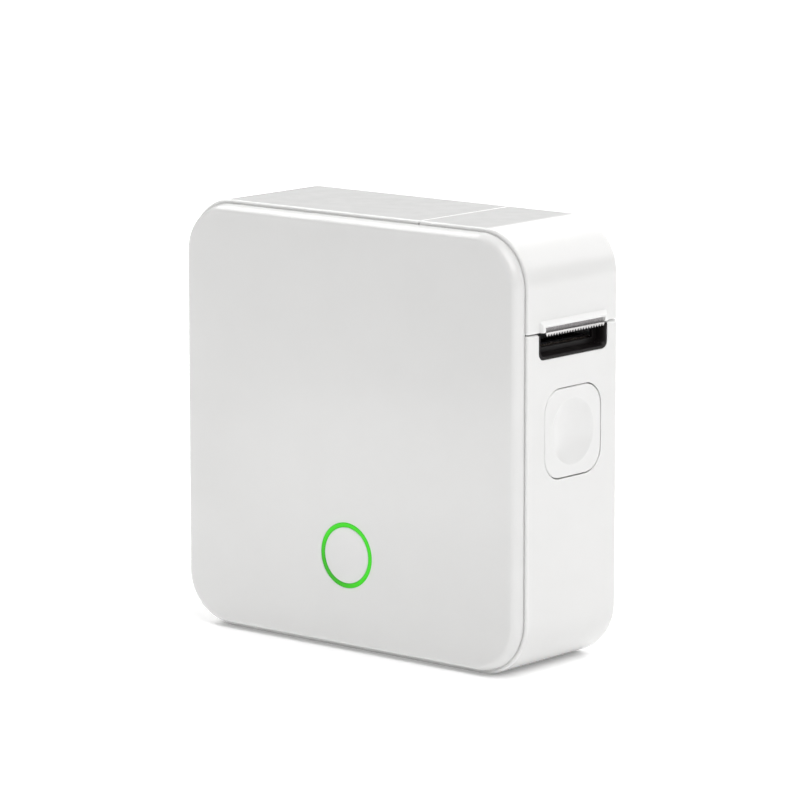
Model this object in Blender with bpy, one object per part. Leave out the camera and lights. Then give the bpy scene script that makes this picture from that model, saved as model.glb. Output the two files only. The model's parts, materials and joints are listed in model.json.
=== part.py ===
"""Pocket thermal label printer: a slim square case with a corner lid, built for Blender 4.5.

Units are metres. X runs to the outlet side, Y to the back and Z up. The origin is the
middle of the footprint on the surface that the printer stands on.
"""

import math

import bmesh
import bpy
from mathutils import Matrix, Vector

MM = 0.001

# Outer case
WIDTH = 80.0 * MM
HEIGHT = 80.0 * MM
DEPTH = 28.0 * MM
CORNER = 10.35 * MM
COVER_PROUD = 2.35 * MM
LEDGE = 0.72 * MM
COVER_ROUND = 1.33 * MM
REAR_ROUND = 0.6 * MM
WALL = 1.6 * MM
LID_WALL = 1.8 * MM
GAP = 0.3 * MM

FRONT = -DEPTH / 2
BACK = DEPTH / 2
BAND_FRONT = FRONT + COVER_PROUD
COVER_BACK = BAND_FRONT - GAP
COVER_POCKET = FRONT + WALL
REAR_INSIDE = BACK - WALL
BAND_MIDDLE = (BAND_FRONT + BACK) / 2
SIDE = WIDTH / 2

# Lid and its hinge
SEAM_X = 15.4 * MM
SEAM_Z = 61.7 * MM
PIN_DEPTH = 2.1 * MM
PIN_RADIUS = 0.6 * MM
PIN_HOLE = 0.68 * MM
END_RADIUS = 3.04 * MM
END_GAP = 0.25 * MM
HUB_INSET = 0.08 * MM
EAR_RADIUS = 1.25 * MM
KNUCKLE_RADIUS = 1.9 * MM
PIN_Z = HEIGHT - PIN_DEPTH
PIN_X = SEAM_X + math.sqrt((END_RADIUS + END_GAP) ** 2 - PIN_DEPTH**2)
LID_LOW = SEAM_Z + GAP

# Outlet, hood and tear blade
SLOT_HALF = 9.8 * MM
SLOT_LOW = 57.0 * MM
SLOT_CORNER = 1.3 * MM
HOOD_HALF = 9.33 * MM
HOOD_TOP = 64.0 * MM
HOOD_PROUD = 0.55 * MM
HOOD_BEVEL = 0.5 * MM
BLADE_HALF = 8.35 * MM
BLADE_TOP = 62.75 * MM
BLADE_LOW = 61.65 * MM
BLADE_TEETH = 22
TOOTH_LENGTH = 0.45 * MM

# Release button
BUTTON_Z = 43.3 * MM
BUTTON_SIZE = 16.0 * MM
BUTTON_CORNER = 4.3 * MM
BUTTON_GAP = 0.2 * MM
DISH_RADIUS = 6.0 * MM
DISH_DEPTH = 0.9 * MM

# Power button and its light ring
POWER_Z = 17.8 * MM
RING_OUTER = 6.05 * MM
RING_INNER = 5.17 * MM
RING_GAP = 0.15 * MM

# Print mechanism
ROLL_X, ROLL_Z = 16.5 * MM, 60.0 * MM
ROLL_RADIUS = 11.0 * MM
ROLL_WIDTH = 15.0 * MM
CORE_RADIUS = 4.5 * MM
BAY_RADIUS = 11.6 * MM
BAY_WALL = 1.2 * MM
BAY_HALF = 8.0 * MM
PLATEN_X, PLATEN_Z = 33.4 * MM, 62.6 * MM
PLATEN_RADIUS = 3.3 * MM
PLATEN_HALF = 7.6 * MM
SHAFT_RADIUS = 1.0 * MM
CHEEK_INNER = 8.05 * MM
CHEEK_THICK = 1.1 * MM
HEAD_LEFT, HEAD_RIGHT = 30.2 * MM, 36.6 * MM
HEAD_TOP = PLATEN_Z - PLATEN_RADIUS - GAP
HEAD_THICK = 1.0 * MM
SHELF_Z = 47.9 * MM

# Gear train, in two layers in front of the gear plate
MODULE = 0.5 * MM
TEETH = {"pinion": 10, "wheel": 26, "small": 12, "idler": 32, "platen": 16}
BACKLASH = 0.1 * MM
MOTOR_X, MOTOR_Z = 27.0 * MM, 41.0 * MM
PLATE_FRONT, PLATE_BACK = -9.1 * MM, -8.3 * MM
INNER_LAYER = (-10.5 * MM, -9.4 * MM)
OUTER_LAYER = (-11.8 * MM, -10.8 * MM)
AXLE_RADIUS = 0.75 * MM

# Electronics
BOARD_FRONT, BOARD_BACK = -7.8 * MM, -6.8 * MM
USB_Z = 16.0 * MM
BOARD_POSTS = ((-24.0, 8.0), (16.0, 8.0), (-4.0, 30.5))
CASE_POSTS = ((-33.0, 7.0), (33.0, 7.0), (-33.0, 73.0), (-1.5, 73.0))
BAY_EARS = ((1.4, 55.0), (1.4, 68.0))

COLORS = {
    "shell_white": ((0.86, 0.86, 0.85), 0.3, 0.0),
    "button_white": ((0.88, 0.88, 0.87), 0.32, 0.0),
    "outlet_black": ((0.015, 0.013, 0.012), 0.35, 0.0),
    "ring_green": ((0.06, 0.62, 0.05), 0.35, 0.0),
    "steel": ((0.6, 0.6, 0.6), 0.3, 1.0),
    "spring_steel": ((0.5, 0.5, 0.5), 0.28, 1.0),
    "aluminium": ((0.7, 0.7, 0.72), 0.35, 1.0),
    "frame_grey": ((0.16, 0.165, 0.17), 0.5, 0.0),
    "gear_plastic": ((0.78, 0.76, 0.7), 0.4, 0.0),
    "platen_rubber": ((0.02, 0.02, 0.02), 0.7, 0.0),
    "head_ceramic": ((0.75, 0.72, 0.66), 0.35, 0.0),
    "board_green": ((0.02, 0.16, 0.06), 0.45, 0.0),
    "chip_black": ((0.02, 0.02, 0.022), 0.5, 0.0),
    "battery_wrap": ((0.2, 0.32, 0.55), 0.4, 0.0),
    "label_paper": ((0.9, 0.9, 0.88), 0.75, 0.0),
    "core_card": ((0.45, 0.34, 0.22), 0.85, 0.0),
    "cable_black": ((0.02, 0.02, 0.02), 0.5, 0.0),
}


def start_scene():
    """Empties the file and makes the collections for the parts and for the cutters."""
    for old in list(bpy.data.objects):
        bpy.data.objects.remove(old, do_unlink=True)
    parts = bpy.data.collections.new("label_printer")
    cutters = bpy.data.collections.new("cutters")
    for collection in (parts, cutters):
        bpy.context.scene.collection.children.link(collection)
    return parts, cutters


PARTS, CUTTERS = start_scene()


def material(slot):
    """The material of a slot, made the first time it is asked for."""
    found = bpy.data.materials.get(slot)
    if found:
        return found
    color, roughness, metallic = COLORS[slot]
    made = bpy.data.materials.new(slot)
    made.use_nodes = True
    shader = made.node_tree.nodes["Principled BSDF"]
    shader.inputs["Base Color"].default_value = (*color, 1.0)
    shader.inputs["Roughness"].default_value = roughness
    shader.inputs["Metallic"].default_value = metallic
    made.diffuse_color = (*color, 1.0)
    return made


def add_part(name, mesh, slot):
    """Puts a mesh in the parts collection under its node's name."""
    part = bpy.data.objects.new(name, mesh)
    mesh.materials.clear()
    mesh.materials.append(material(slot))
    mesh.shade_smooth()
    mesh.set_sharp_from_angle(angle=math.radians(35))
    PARTS.objects.link(part)
    return part


def add_cutter(mesh):
    """Puts a mesh in the cutters collection, hidden in renders."""
    cutter = bpy.data.objects.new("cutter", mesh)
    cutter.hide_render = True
    cutter.display_type = "WIRE"
    CUTTERS.objects.link(cutter)
    return cutter


def combine(part, operation, meshes):
    """Adds one exact Boolean for each mesh to a part."""
    for mesh in meshes:
        change = part.modifiers.new(operation.lower(), "BOOLEAN")
        change.solver = "EXACT"
        change.operation = operation
        change.object = add_cutter(mesh)


def cut(part, *meshes):
    combine(part, "DIFFERENCE", meshes)


def fuse(part, *meshes):
    combine(part, "UNION", meshes)


def finish_mesh(bm, name):
    """Turns a bmesh into a mesh whose faces point out."""
    bmesh.ops.recalc_face_normals(bm, faces=bm.faces)
    mesh = bpy.data.meshes.new(name)
    bm.to_mesh(mesh)
    bm.free()
    return mesh


def turned_to(mesh, axis):
    """Turns a mesh made along Y so that it lies along X or Z instead."""
    if axis == "X":
        mesh.transform(Matrix.Rotation(-math.pi / 2, 4, "Z"))
    elif axis == "Z":
        mesh.transform(Matrix.Rotation(math.pi / 2, 4, "X"))
    return mesh


def moved(mesh, x=0.0, y=0.0, z=0.0):
    mesh.transform(Matrix.Translation((x, y, z)))
    return mesh


def box(low, high):
    """A box between two corners."""
    bm = bmesh.new()
    bmesh.ops.create_cube(bm, size=1.0)
    low, high = Vector(low), Vector(high)
    size = high - low
    bmesh.ops.scale(bm, vec=size, verts=bm.verts)
    bmesh.ops.translate(bm, vec=(low + high) / 2, verts=bm.verts)
    return finish_mesh(bm, "box")


def rod(center, radius, ends, axis="Y", sides=16):
    """A cylinder between two ends along an axis, about a point in the other two axes."""
    bm = bmesh.new()
    length = ends[1] - ends[0]
    bmesh.ops.create_cone(
        bm, cap_ends=True, segments=sides, radius1=radius, radius2=radius, depth=length
    )
    middle = (ends[0] + ends[1]) / 2
    turns = {
        "X": Matrix.Rotation(math.pi / 2, 4, "Y"),
        "Y": Matrix.Rotation(math.pi / 2, 4, "X"),
        "Z": Matrix.Identity(4),
    }
    places = {
        "X": (middle, center[0], center[1]),
        "Y": (center[0], middle, center[1]),
        "Z": (center[0], center[1], middle),
    }
    bm.transform(Matrix.Translation(places[axis]) @ turns[axis])
    return finish_mesh(bm, "rod")


def slab(outline, y_front, y_back, rounds=()):
    """An XZ outline carried from front to back; rounds lists (side, width, steps)."""
    bm = bmesh.new()
    ring = [bm.verts.new((x, y_front, z)) for x, z in outline]
    face = bm.faces.new(ring)
    grown = bmesh.ops.extrude_face_region(bm, geom=[face])["geom"]
    far = [item for item in grown if isinstance(item, bmesh.types.BMVert)]
    bmesh.ops.translate(bm, vec=(0, y_back - y_front, 0), verts=far)
    bmesh.ops.recalc_face_normals(bm, faces=bm.faces)
    for side, width, steps in rounds:
        level = y_front if side == "front" else y_back
        rim = [e for e in bm.edges if all(abs(v.co.y - level) < 1e-7 for v in e.verts)]
        bmesh.ops.bevel(bm, geom=rim, offset=width, segments=steps, profile=0.5, affect="EDGES")
    return finish_mesh(bm, "slab")


def plate(loops, y_front, y_back):
    """A flat plate from an outer outline and any holes in it, in XZ."""
    curve = bpy.data.curves.new("plate", "CURVE")
    curve.dimensions = "2D"
    curve.fill_mode = "BOTH"
    curve.extrude = (y_back - y_front) / 2
    for loop in loops:
        spline = curve.splines.new("POLY")
        spline.points.add(len(loop) - 1)
        spline.use_cyclic_u = True
        for point, (x, z) in zip(spline.points, loop):
            point.co = (x, z, 0, 1)
    mesh = curve_mesh(curve)
    mesh.transform(Matrix.Rotation(math.pi / 2, 4, "X"))
    return moved(mesh, y=(y_front + y_back) / 2)


def curve_mesh(curve):
    """The closed mesh of a curve, with its caps welded on."""
    holder = bpy.data.objects.new("curve", curve)
    CUTTERS.objects.link(holder)
    graph = bpy.context.evaluated_depsgraph_get()
    mesh = bpy.data.meshes.new_from_object(holder.evaluated_get(graph))
    bpy.data.objects.remove(holder, do_unlink=True)
    bm = bmesh.new()
    bm.from_mesh(mesh)
    bmesh.ops.remove_doubles(bm, verts=bm.verts, dist=0.002 * MM)
    return finish_mesh(bm, "curve")


def tube(points, radius, resolution=0):
    """A round wire along points."""
    curve = bpy.data.curves.new("wire", "CURVE")
    curve.dimensions = "3D"
    curve.bevel_depth = radius
    curve.bevel_resolution = resolution
    curve.use_fill_caps = True
    spline = curve.splines.new("POLY")
    spline.points.add(len(points) - 1)
    for point, place in zip(spline.points, points):
        point.co = (*place, 1)
    return curve_mesh(curve)


def turned(profile, center, steps=32):
    """A profile of (radius, y) points, front to back, turned about a line along Y."""
    bm = bmesh.new()
    corners = [bm.verts.new((radius, y, 0)) for radius, y in profile]
    edges = [bm.edges.new(pair) for pair in zip(corners, corners[1:])]
    bmesh.ops.spin(
        bm,
        geom=corners + edges,
        cent=(0, 0, 0),
        axis=(0, 1, 0),
        angle=2 * math.pi,
        steps=steps,
        use_merge=True,
    )
    bmesh.ops.remove_doubles(bm, verts=bm.verts, dist=0.002 * MM)
    return moved(finish_mesh(bm, "turned"), x=center[0], z=center[1])


def washer(center, outer, inner, y_front, y_back, sides=24):
    """A plain ring along Y."""
    return plate([circle(center, outer, sides), circle(center, inner, sides)], y_front, y_back)


def arc(center, radius, start, end, steps):
    """Points on an arc, in degrees from +X towards +Z."""
    angles = [math.radians(start + (end - start) * i / steps) for i in range(steps + 1)]
    return [
        (center[0] + radius * math.cos(a), center[1] + radius * math.sin(a)) for a in angles
    ]


def circle(center, radius, sides=16):
    return arc(center, radius, 0, 360, sides)[:-1]


def rounded_box(low, high, radius, steps=6):
    """The outline of a rectangle with round corners."""
    inset = radius
    corners = (
        ((high[0] - inset, high[1] - inset), 0),
        ((low[0] + inset, high[1] - inset), 90),
        ((low[0] + inset, low[1] + inset), 180),
        ((high[0] - inset, low[1] + inset), 270),
    )
    outline = []
    for center, start in corners:
        outline += arc(center, radius, start, start + 90, steps)
    return outline


def case_outline(inset, steps=7):
    """The case's square outline, moved in by an inset."""
    low, high = (-SIDE + inset, inset), (SIDE - inset, HEIGHT - inset)
    return rounded_box(low, high, CORNER - inset, steps)


def side_outline(half, low, high, radius, steps=6):
    """A rounded outline on the right side, centred on the band, as (y, z) points."""
    return rounded_box(
        (BAND_MIDDLE - half, low), (BAND_MIDDLE + half, high), radius, steps
    )


def side_slab(outline, x_left, x_right):
    """A (y, z) outline carried along X."""
    mesh = slab(outline, -x_right, -x_left)
    mesh.transform(Matrix.Rotation(math.pi / 2, 4, "Z"))
    return mesh


def corner_centers():
    return (SIDE - CORNER, HEIGHT - CORNER)


def end_angle(radius, height):
    """The angle, left of the pin, where a circle round it reaches a height above it."""
    return 180 - math.degrees(math.asin(height / radius))


def lid_outline(low, inset, end_radius, outside=0.0):
    """The lid's strip round the top-right corner, or the space for it.

    outside moves its outer side out past the case, so that a cutter clears the surface.
    """
    corner = corner_centers()
    pin = (PIN_X, PIN_Z)
    top_angle = end_angle(end_radius, PIN_DEPTH)
    under = max(HEIGHT - inset - PIN_Z, 0.0)
    outline = arc(pin, end_radius, end_angle(end_radius, under), top_angle, 4)
    if outside:
        outline.append((outline[-1][0], HEIGHT + outside))
    outline += arc(corner, CORNER + outside, 90, 0, 8)
    outline += [(SIDE + outside, low), (SIDE - inset, low)]
    outline += arc(corner, CORNER - inset, 0, 90, 8)
    return outline


def pitch_radius(gear):
    return MODULE * TEETH[gear] / 2


def reduction_center(idler):
    """Where the reduction gear sits, so that it meshes with the idler and the pinion."""
    to_idler = pitch_radius("small") + pitch_radius("idler")
    to_motor = pitch_radius("wheel") + pitch_radius("pinion")
    start, end = Vector(idler), Vector((MOTOR_X, MOTOR_Z))
    span = end - start
    along = (to_idler**2 - to_motor**2 + span.length**2) / (2 * span.length)
    aside = math.sqrt(to_idler**2 - along**2)
    line = span.normalized()
    return start + line * along + Vector((line.y, -line.x)) * aside


def idler_center():
    """Where the idler sits: the lid's swing draws the platen gear straight out of it."""
    arm = Vector((PLATEN_X - PIN_X, PLATEN_Z - PIN_Z))
    swing = math.acos(-pitch_radius("platen") / arm.length)
    angle = math.atan2(arm.y, arm.x) - swing
    reach = pitch_radius("platen") + pitch_radius("idler")
    return Vector((PLATEN_X, PLATEN_Z)) + reach * Vector((math.cos(angle), math.sin(angle)))


IDLER = idler_center()
REDUCTION = reduction_center(IDLER)


def meshed_phase(center, teeth, phase, other, other_teeth):
    """The turn of a gear at other that puts it in mesh with a gear at center."""
    line = Vector(other) - Vector(center)
    angle = math.atan2(line.y, line.x)
    return angle + math.pi + math.pi / other_teeth + (angle - phase) * teeth / other_teeth


def gear_outline(center, teeth, phase):
    """A spur gear's outline with 20 degree involute flanks."""
    pressure = math.radians(20)
    pitch = MODULE * teeth / 2
    base = pitch * math.cos(pressure)
    tip, root = pitch + 0.75 * MODULE, pitch - 1.1 * MODULE

    def involute(radius):
        angle = math.acos(min(1.0, base / radius))
        return math.tan(angle) - angle

    half = math.pi / (2 * teeth) - BACKLASH / (2 * pitch)

    def flank(radius):
        return half + involute(pitch) - involute(max(radius, base))

    radii = (root, pitch, tip)
    outline = []
    for tooth in range(teeth):
        middle = phase + 2 * math.pi * tooth / teeth
        side = [(radius, middle - flank(radius)) for radius in radii]
        side += [(radius, middle + flank(radius)) for radius in reversed(radii)]
        outline += [
            (center[0] + r * math.cos(a), center[1] + r * math.sin(a)) for r, a in side
        ]
    return outline


def coil(center, radius, ends, turns, steps=8):
    """Points of a helix along Y about an XZ point, with its end turns closed up."""
    points = []
    total = turns * steps
    for i in range(total + 1):
        share = i / total
        y = ends[0] + (ends[1] - ends[0]) * (share - 0.35 * math.sin(2 * math.pi * share) / 6)
        angle = 2 * math.pi * i / steps
        points.append(
            (center[0] + radius * math.cos(angle), y, center[1] + radius * math.sin(angle))
        )
    return points


def smooth_route(anchors, steps=4):
    """Points of a smooth curve through anchors, given in millimetres."""
    ends = [anchors[0], *anchors, anchors[-1]]
    points = []
    for before, start, end, after in zip(ends, ends[1:], ends[2:], ends[3:]):
        p0, p1, p2, p3 = (Vector(p) * MM for p in (before, start, end, after))
        for i in range(steps):
            t = i / steps
            points.append(
                0.5
                * (
                    2 * p1
                    + (p2 - p0) * t
                    + (2 * p0 - 5 * p1 + 4 * p2 - p3) * t**2
                    + (3 * p1 - p0 - 3 * p2 + p3) * t**3
                )
            )
    points.append(Vector(anchors[-1]) * MM)
    return points


def screw_mesh(x, z, head_back, head_front, head_radius, tip, shank_radius):
    """A pan head with a plain shank along Y, its head at the back."""
    profile = [
        (0, tip),
        (shank_radius, tip),
        (shank_radius, head_front),
        (head_radius, head_front),
        (head_radius, head_back),
        (0, head_back),
    ]
    return turned(profile, (x, z), 10)


def make_front_cover():
    outline = case_outline(LEDGE)
    cover = slab(outline, FRONT, COVER_BACK, rounds=[("front", COVER_ROUND, 3)])
    part = add_part("front_cover", cover, "shell_white")
    pocket_back = COVER_BACK + 5 * MM
    cut(part, slab(case_outline(3.0 * MM), COVER_POCKET, pocket_back))
    cut(part, rod((0, POWER_Z), RING_OUTER + RING_GAP, (FRONT - 1 * MM, BAND_FRONT), sides=32))
    for x, z in CASE_POSTS:
        place = (x * MM, z * MM)
        fuse(part, rod(place, 2.5 * MM, (COVER_POCKET - GAP, -0.3 * MM)))
        cut(part, rod(place, 1.1 * MM, (-9.5 * MM, 1 * MM), sides=12))
    for x, z in BOARD_POSTS:
        place = (x * MM, z * MM)
        fuse(part, rod(place, 2.0 * MM, (COVER_POCKET - GAP, BOARD_FRONT - GAP)))
        cut(part, rod(place, 0.9 * MM, (-11.6 * MM, BOARD_BACK), sides=12))
    inner, outer = 3.1 * MM, 2.1 * MM
    tab_front, tab_back = COVER_BACK - 0.8 * MM, -9.9 * MM
    for x in (-20 * MM, 16 * MM):
        fuse(part, box((x - 4 * MM, tab_front, outer), (x + 4 * MM, tab_back, inner)))
    for x in (-22 * MM, 4 * MM):
        high = HEIGHT - outer
        fuse(part, box((x - 4 * MM, tab_front, HEIGHT - inner), (x + 4 * MM, tab_back, high)))
    for z in (22 * MM, 56 * MM):
        left = -SIDE + outer
        fuse(part, box((left, tab_front, z - 4 * MM), (-SIDE + inner, tab_back, z + 4 * MM)))
    right = SIDE - outer
    fuse(part, box((SIDE - inner, tab_front, 18 * MM), (right, tab_back, 26 * MM)))
    return part


def make_rear_housing():
    shell = slab(case_outline(0), BAND_FRONT, BACK, rounds=[("back", REAR_ROUND, 2)])
    part = add_part("rear_housing", shell, "shell_white")
    cut(part, slab(case_outline(WALL), BAND_FRONT - 1 * MM, REAR_INSIDE))
    lid_space = lid_outline(SEAM_Z, LID_WALL + GAP, END_RADIUS + END_GAP, outside=2 * MM)
    cut(part, slab(lid_space, BAND_FRONT - 1 * MM, BACK + 1 * MM))
    hub_ends = (REAR_INSIDE - 1 * MM, BACK + 1 * MM)
    cut(part, rod((PIN_X, PIN_Z), END_RADIUS + END_GAP, hub_ends, sides=24))
    slot = side_outline(SLOT_HALF, SLOT_LOW, SEAM_Z + 4 * MM, SLOT_CORNER)
    cut(part, side_slab(slot, SIDE - 2.5 * MM, SIDE + 1 * MM))
    half = BUTTON_SIZE / 2 + BUTTON_GAP
    hole = side_outline(half, BUTTON_Z - half, BUTTON_Z + half, BUTTON_CORNER + BUTTON_GAP)
    cut(part, side_slab(hole, SIDE - 2.5 * MM, SIDE + 1 * MM))
    usb = rounded_box(
        (-6.8 * MM, USB_Z - 4.8 * MM), (-3.0 * MM, USB_Z + 4.8 * MM), 1.85 * MM
    )
    cut(part, side_slab(usb, -SIDE - 1 * MM, -SIDE + 2.5 * MM))
    for x, z in CASE_POSTS:
        place = (x * MM, z * MM)
        fuse(part, rod(place, 2.9 * MM, (0, REAR_INSIDE + 0.5 * MM)))
        cut(part, rod(place, 2.2 * MM, (4 * MM, BACK + 1 * MM)))
        cut(part, rod(place, 1.1 * MM, (-1 * MM, 5 * MM), sides=12))
    for x, z in BAY_EARS:
        place = (x * MM, z * MM)
        fuse(part, rod(place, 2.0 * MM, (10.9 * MM, REAR_INSIDE + 0.5 * MM)))
        cut(part, rod(place, 0.9 * MM, (10 * MM, 13.2 * MM), sides=12))
    rib = box((29.6 * MM, 6.9 * MM, 40 * MM), (30.7 * MM, REAR_INSIDE + 0.5 * MM, 47 * MM))
    fuse(part, rib)
    return part


def make_lid():
    case = slab(case_outline(0), BAND_FRONT, BACK, rounds=[("back", REAR_ROUND, 2)])
    part = add_part("lid", case, "shell_white")
    outline = lid_outline(LID_LOW, LID_WALL, END_RADIUS, outside=2 * MM)
    combine(part, "INTERSECT", [slab(outline, BAND_FRONT - 1 * MM, BACK + 1 * MM)])
    pin = (PIN_X, PIN_Z)
    hub_radius = END_RADIUS - HUB_INSET
    top = end_angle(hub_radius, PIN_DEPTH - HUB_INSET)
    hub = arc(pin, hub_radius, top, 540 - top, 14)
    fuse(part, slab(hub, REAR_INSIDE - GAP, BACK - HUB_INSET))
    for ends in ((-11.35 * MM, -8.3 * MM), (10.7 * MM, 12.3 * MM)):
        fuse(part, rod(pin, KNUCKLE_RADIUS, ends))
    for ends in ((-8.3 * MM, -3.2 * MM), (9.0 * MM, 10.7 * MM)):
        cut(part, rod(pin, EAR_RADIUS + GAP, ends))
    cut(part, rod(pin, PIN_HOLE, (-12 * MM, 12.2 * MM)))
    bearing = (PLATEN_X, PLATEN_Z)
    corner = corner_centers()
    merge = 0.3 * MM
    inside = LID_WALL - merge
    cheek = [(29.8 * MM, HEIGHT - inside)]
    cheek += [(29.8 * MM, 66 * MM)]
    cheek += arc(bearing, 2.7 * MM, 180, 350, 10)
    cheek += [(36.6 * MM, 63.2 * MM), (SIDE - inside, 63.8 * MM)]
    cheek += arc(corner, CORNER - inside, 0, 90, 8)[:-1]
    for sign in (-1, 1):
        near = BAND_MIDDLE + sign * CHEEK_INNER
        far = near + sign * CHEEK_THICK
        fuse(part, slab(cheek, min(near, far), max(near, far)))
    cut(part, rod(bearing, 1.95 * MM, (-9 * MM, 12 * MM)))
    fuse(part, hood_mesh())
    half = BLADE_HALF + 0.15 * MM
    recess = (
        (SIDE + 0.02 * MM, BAND_MIDDLE - half, LID_LOW - 1 * MM),
        (SIDE + 2 * MM, BAND_MIDDLE + half, BLADE_TOP + 0.15 * MM),
    )
    cut(part, box(*recess))
    catch = box(
        (37.4 * MM, 11.2 * MM, 62.6 * MM),
        (SIDE - LID_WALL + 0.3 * MM, 12.2 * MM, 64.0 * MM),
    )
    fuse(part, catch)
    return part


def hood_mesh():
    """The raised frame over the blade, sloped at its top and sides."""
    outline = [
        (BAND_MIDDLE - HOOD_HALF, LID_LOW),
        (BAND_MIDDLE + HOOD_HALF, LID_LOW),
        (BAND_MIDDLE + HOOD_HALF, HOOD_TOP),
        (BAND_MIDDLE - HOOD_HALF, HOOD_TOP),
    ]
    mesh = side_slab(outline, SIDE - 0.5 * MM, SIDE + HOOD_PROUD)
    bm = bmesh.new()
    bm.from_mesh(mesh)
    proud = SIDE + HOOD_PROUD
    rim = [
        edge
        for edge in bm.edges
        if all(abs(v.co.x - proud) < 1e-7 for v in edge.verts)
        and not all(abs(v.co.z - LID_LOW) < 1e-7 for v in edge.verts)
    ]
    bmesh.ops.bevel(bm, geom=rim, offset=HOOD_BEVEL, segments=2, profile=0.5, affect="EDGES")
    return finish_mesh(bm, "hood")


def make_tear_blade():
    """A steel strip with pointed teeth along its lower edge."""
    step = 2 * BLADE_HALF / BLADE_TEETH
    left = BAND_MIDDLE - BLADE_HALF
    outline = []
    for tooth in range(BLADE_TEETH):
        outline.append((left + tooth * step, BLADE_LOW))
        outline.append((left + (tooth + 0.5) * step, BLADE_LOW - TOOTH_LENGTH))
    outline += [
        (left + 2 * BLADE_HALF, BLADE_LOW),
        (left + 2 * BLADE_HALF, BLADE_TOP),
        (left, BLADE_TOP),
    ]
    mesh = side_slab(outline, SIDE + 0.12 * MM, SIDE + 0.42 * MM)
    return add_part("tear_blade", mesh, "steel")


def make_outlet_bezel():
    """The black insert that lines the outlet, open at the top for the lid."""
    half = SLOT_HALF - 0.25 * MM
    lining = 0.5 * MM
    low = SLOT_LOW + 0.25 * MM
    top = SEAM_Z - 0.1 * MM
    outer = side_outline(half, low, top + 2 * MM, SLOT_CORNER)
    part = add_part(
        "outlet_bezel", side_slab(outer, 37.3 * MM, SIDE - 0.1 * MM), "outlet_black"
    )
    inner = side_outline(half - lining, low + lining, top + 4 * MM, SLOT_CORNER - lining)
    cut(part, side_slab(inner, 37.9 * MM, SIDE + 1 * MM))
    cut(part, box((30 * MM, BACK - 40 * MM, top), (SIDE + 1 * MM, BACK + 10 * MM, 70 * MM)))
    mouth = (
        (30 * MM, BAND_MIDDLE - half + 1.5 * MM, 58.9 * MM),
        (38.5 * MM, BAND_MIDDLE + half - 1.5 * MM, 70 * MM),
    )
    cut(part, box(*mouth))
    return part


def make_hinge_pin():
    pin = rod((PIN_X, PIN_Z), PIN_RADIUS, (-11.2 * MM, 12.0 * MM))
    return add_part("hinge_pin", pin, "steel")


def make_lid_spring():
    """A torsion spring on the pin, with a leg on the lid and a leg on the frame."""
    wire = 0.2 * MM
    center = (PIN_X, PIN_Z)
    winding = coil(center, 0.98 * MM, (-6.2 * MM, -3.9 * MM), 4)
    start = Vector(winding[0])
    end = Vector(winding[-1])
    lid_leg = [start + Vector((0, 0, -6.0)) * MM, start + Vector((0, 0, -0.6)) * MM]
    frame_leg = [end + Vector((0, 0, -0.6)) * MM, end + Vector((0, 0, -6.0)) * MM]
    return add_part("lid_spring", tube([*lid_leg, *winding, *frame_leg], wire), "spring_steel")


def make_release_button():
    half = BUTTON_SIZE / 2
    face = side_outline(half, BUTTON_Z - half, BUTTON_Z + half, BUTTON_CORNER)
    part = add_part(
        "release_button", side_slab(face, 37.9 * MM, SIDE), "button_white"
    )
    rim = half + 1.2 * MM
    flange = side_outline(rim, BUTTON_Z - rim, BUTTON_Z + rim, BUTTON_CORNER + 1.2 * MM)
    fuse(part, side_slab(flange, 37.2 * MM, SIDE - WALL - 0.3 * MM))
    ball = (DISH_RADIUS**2 + DISH_DEPTH**2) / (2 * DISH_DEPTH)
    bend = math.asin(DISH_RADIUS / ball)
    profile = [
        (ball * math.sin(bend * i / 4), ball * (1 - math.cos(bend * i / 4)))
        for i in range(5)
    ]
    profile += [(DISH_RADIUS, DISH_DEPTH + 2 * MM), (0, DISH_DEPTH + 2 * MM)]
    lens = turned(profile, (0, 0), 32)
    lens.transform(Matrix.Rotation(-math.pi / 2, 4, "Z"))
    cut(part, moved(lens, SIDE - DISH_DEPTH, BAND_MIDDLE, BUTTON_Z))
    return part


def make_latch_bar():
    """The bar behind the release button, with the hook that holds the lid's catch."""
    left, right = 35.9 * MM, 36.9 * MM
    arm_front, arm_back = 11.2 * MM, 12.2 * MM
    bar = add_part(
        "latch_bar", box((left, -4 * MM, 40 * MM), (right, arm_back, 47 * MM)), "frame_grey"
    )
    hook = [
        (left, 40 * MM),
        (right, 40 * MM),
        (right, 64.3 * MM),
        (37.15 * MM, 64.4 * MM),
        (37.15 * MM, 65.0 * MM),
        (right - 0.3 * MM, 65.6 * MM),
        (left, 65.6 * MM),
    ]
    fuse(bar, slab(hook, arm_front, arm_back))
    return bar


def make_release_spring():
    winding = coil((0, 0), 1.4 * MM, (0, 4.6 * MM), 6)
    mesh = turned_to(tube(winding, 0.2 * MM), "X")
    mesh = moved(mesh, 31.0 * MM, 9.0 * MM, 43.5 * MM)
    return add_part("release_spring", mesh, "spring_steel")


def make_power_button():
    disc = RING_INNER - RING_GAP
    profile = [
        (0, FRONT),
        (disc - 0.15 * MM, FRONT),
        (disc, FRONT + 0.15 * MM),
        (disc, -11.0 * MM),
        (6.4 * MM, -11.0 * MM),
        (6.4 * MM, -10.6 * MM),
        (1.3 * MM, -10.6 * MM),
        (1.3 * MM, -10.3 * MM),
        (0, -10.3 * MM),
    ]
    return add_part("power_button", turned(profile, (0, POWER_Z), 32), "button_white")


def make_light_ring():
    place = (0, POWER_Z)
    front = FRONT + 0.1 * MM
    part = add_part(
        "light_ring", washer(place, RING_OUTER, RING_INNER, front, -11.5 * MM, 32), "ring_green"
    )
    fuse(part, washer(place, 7.4 * MM, RING_INNER, -12.1 * MM, -11.4 * MM, 32))
    return part


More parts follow.
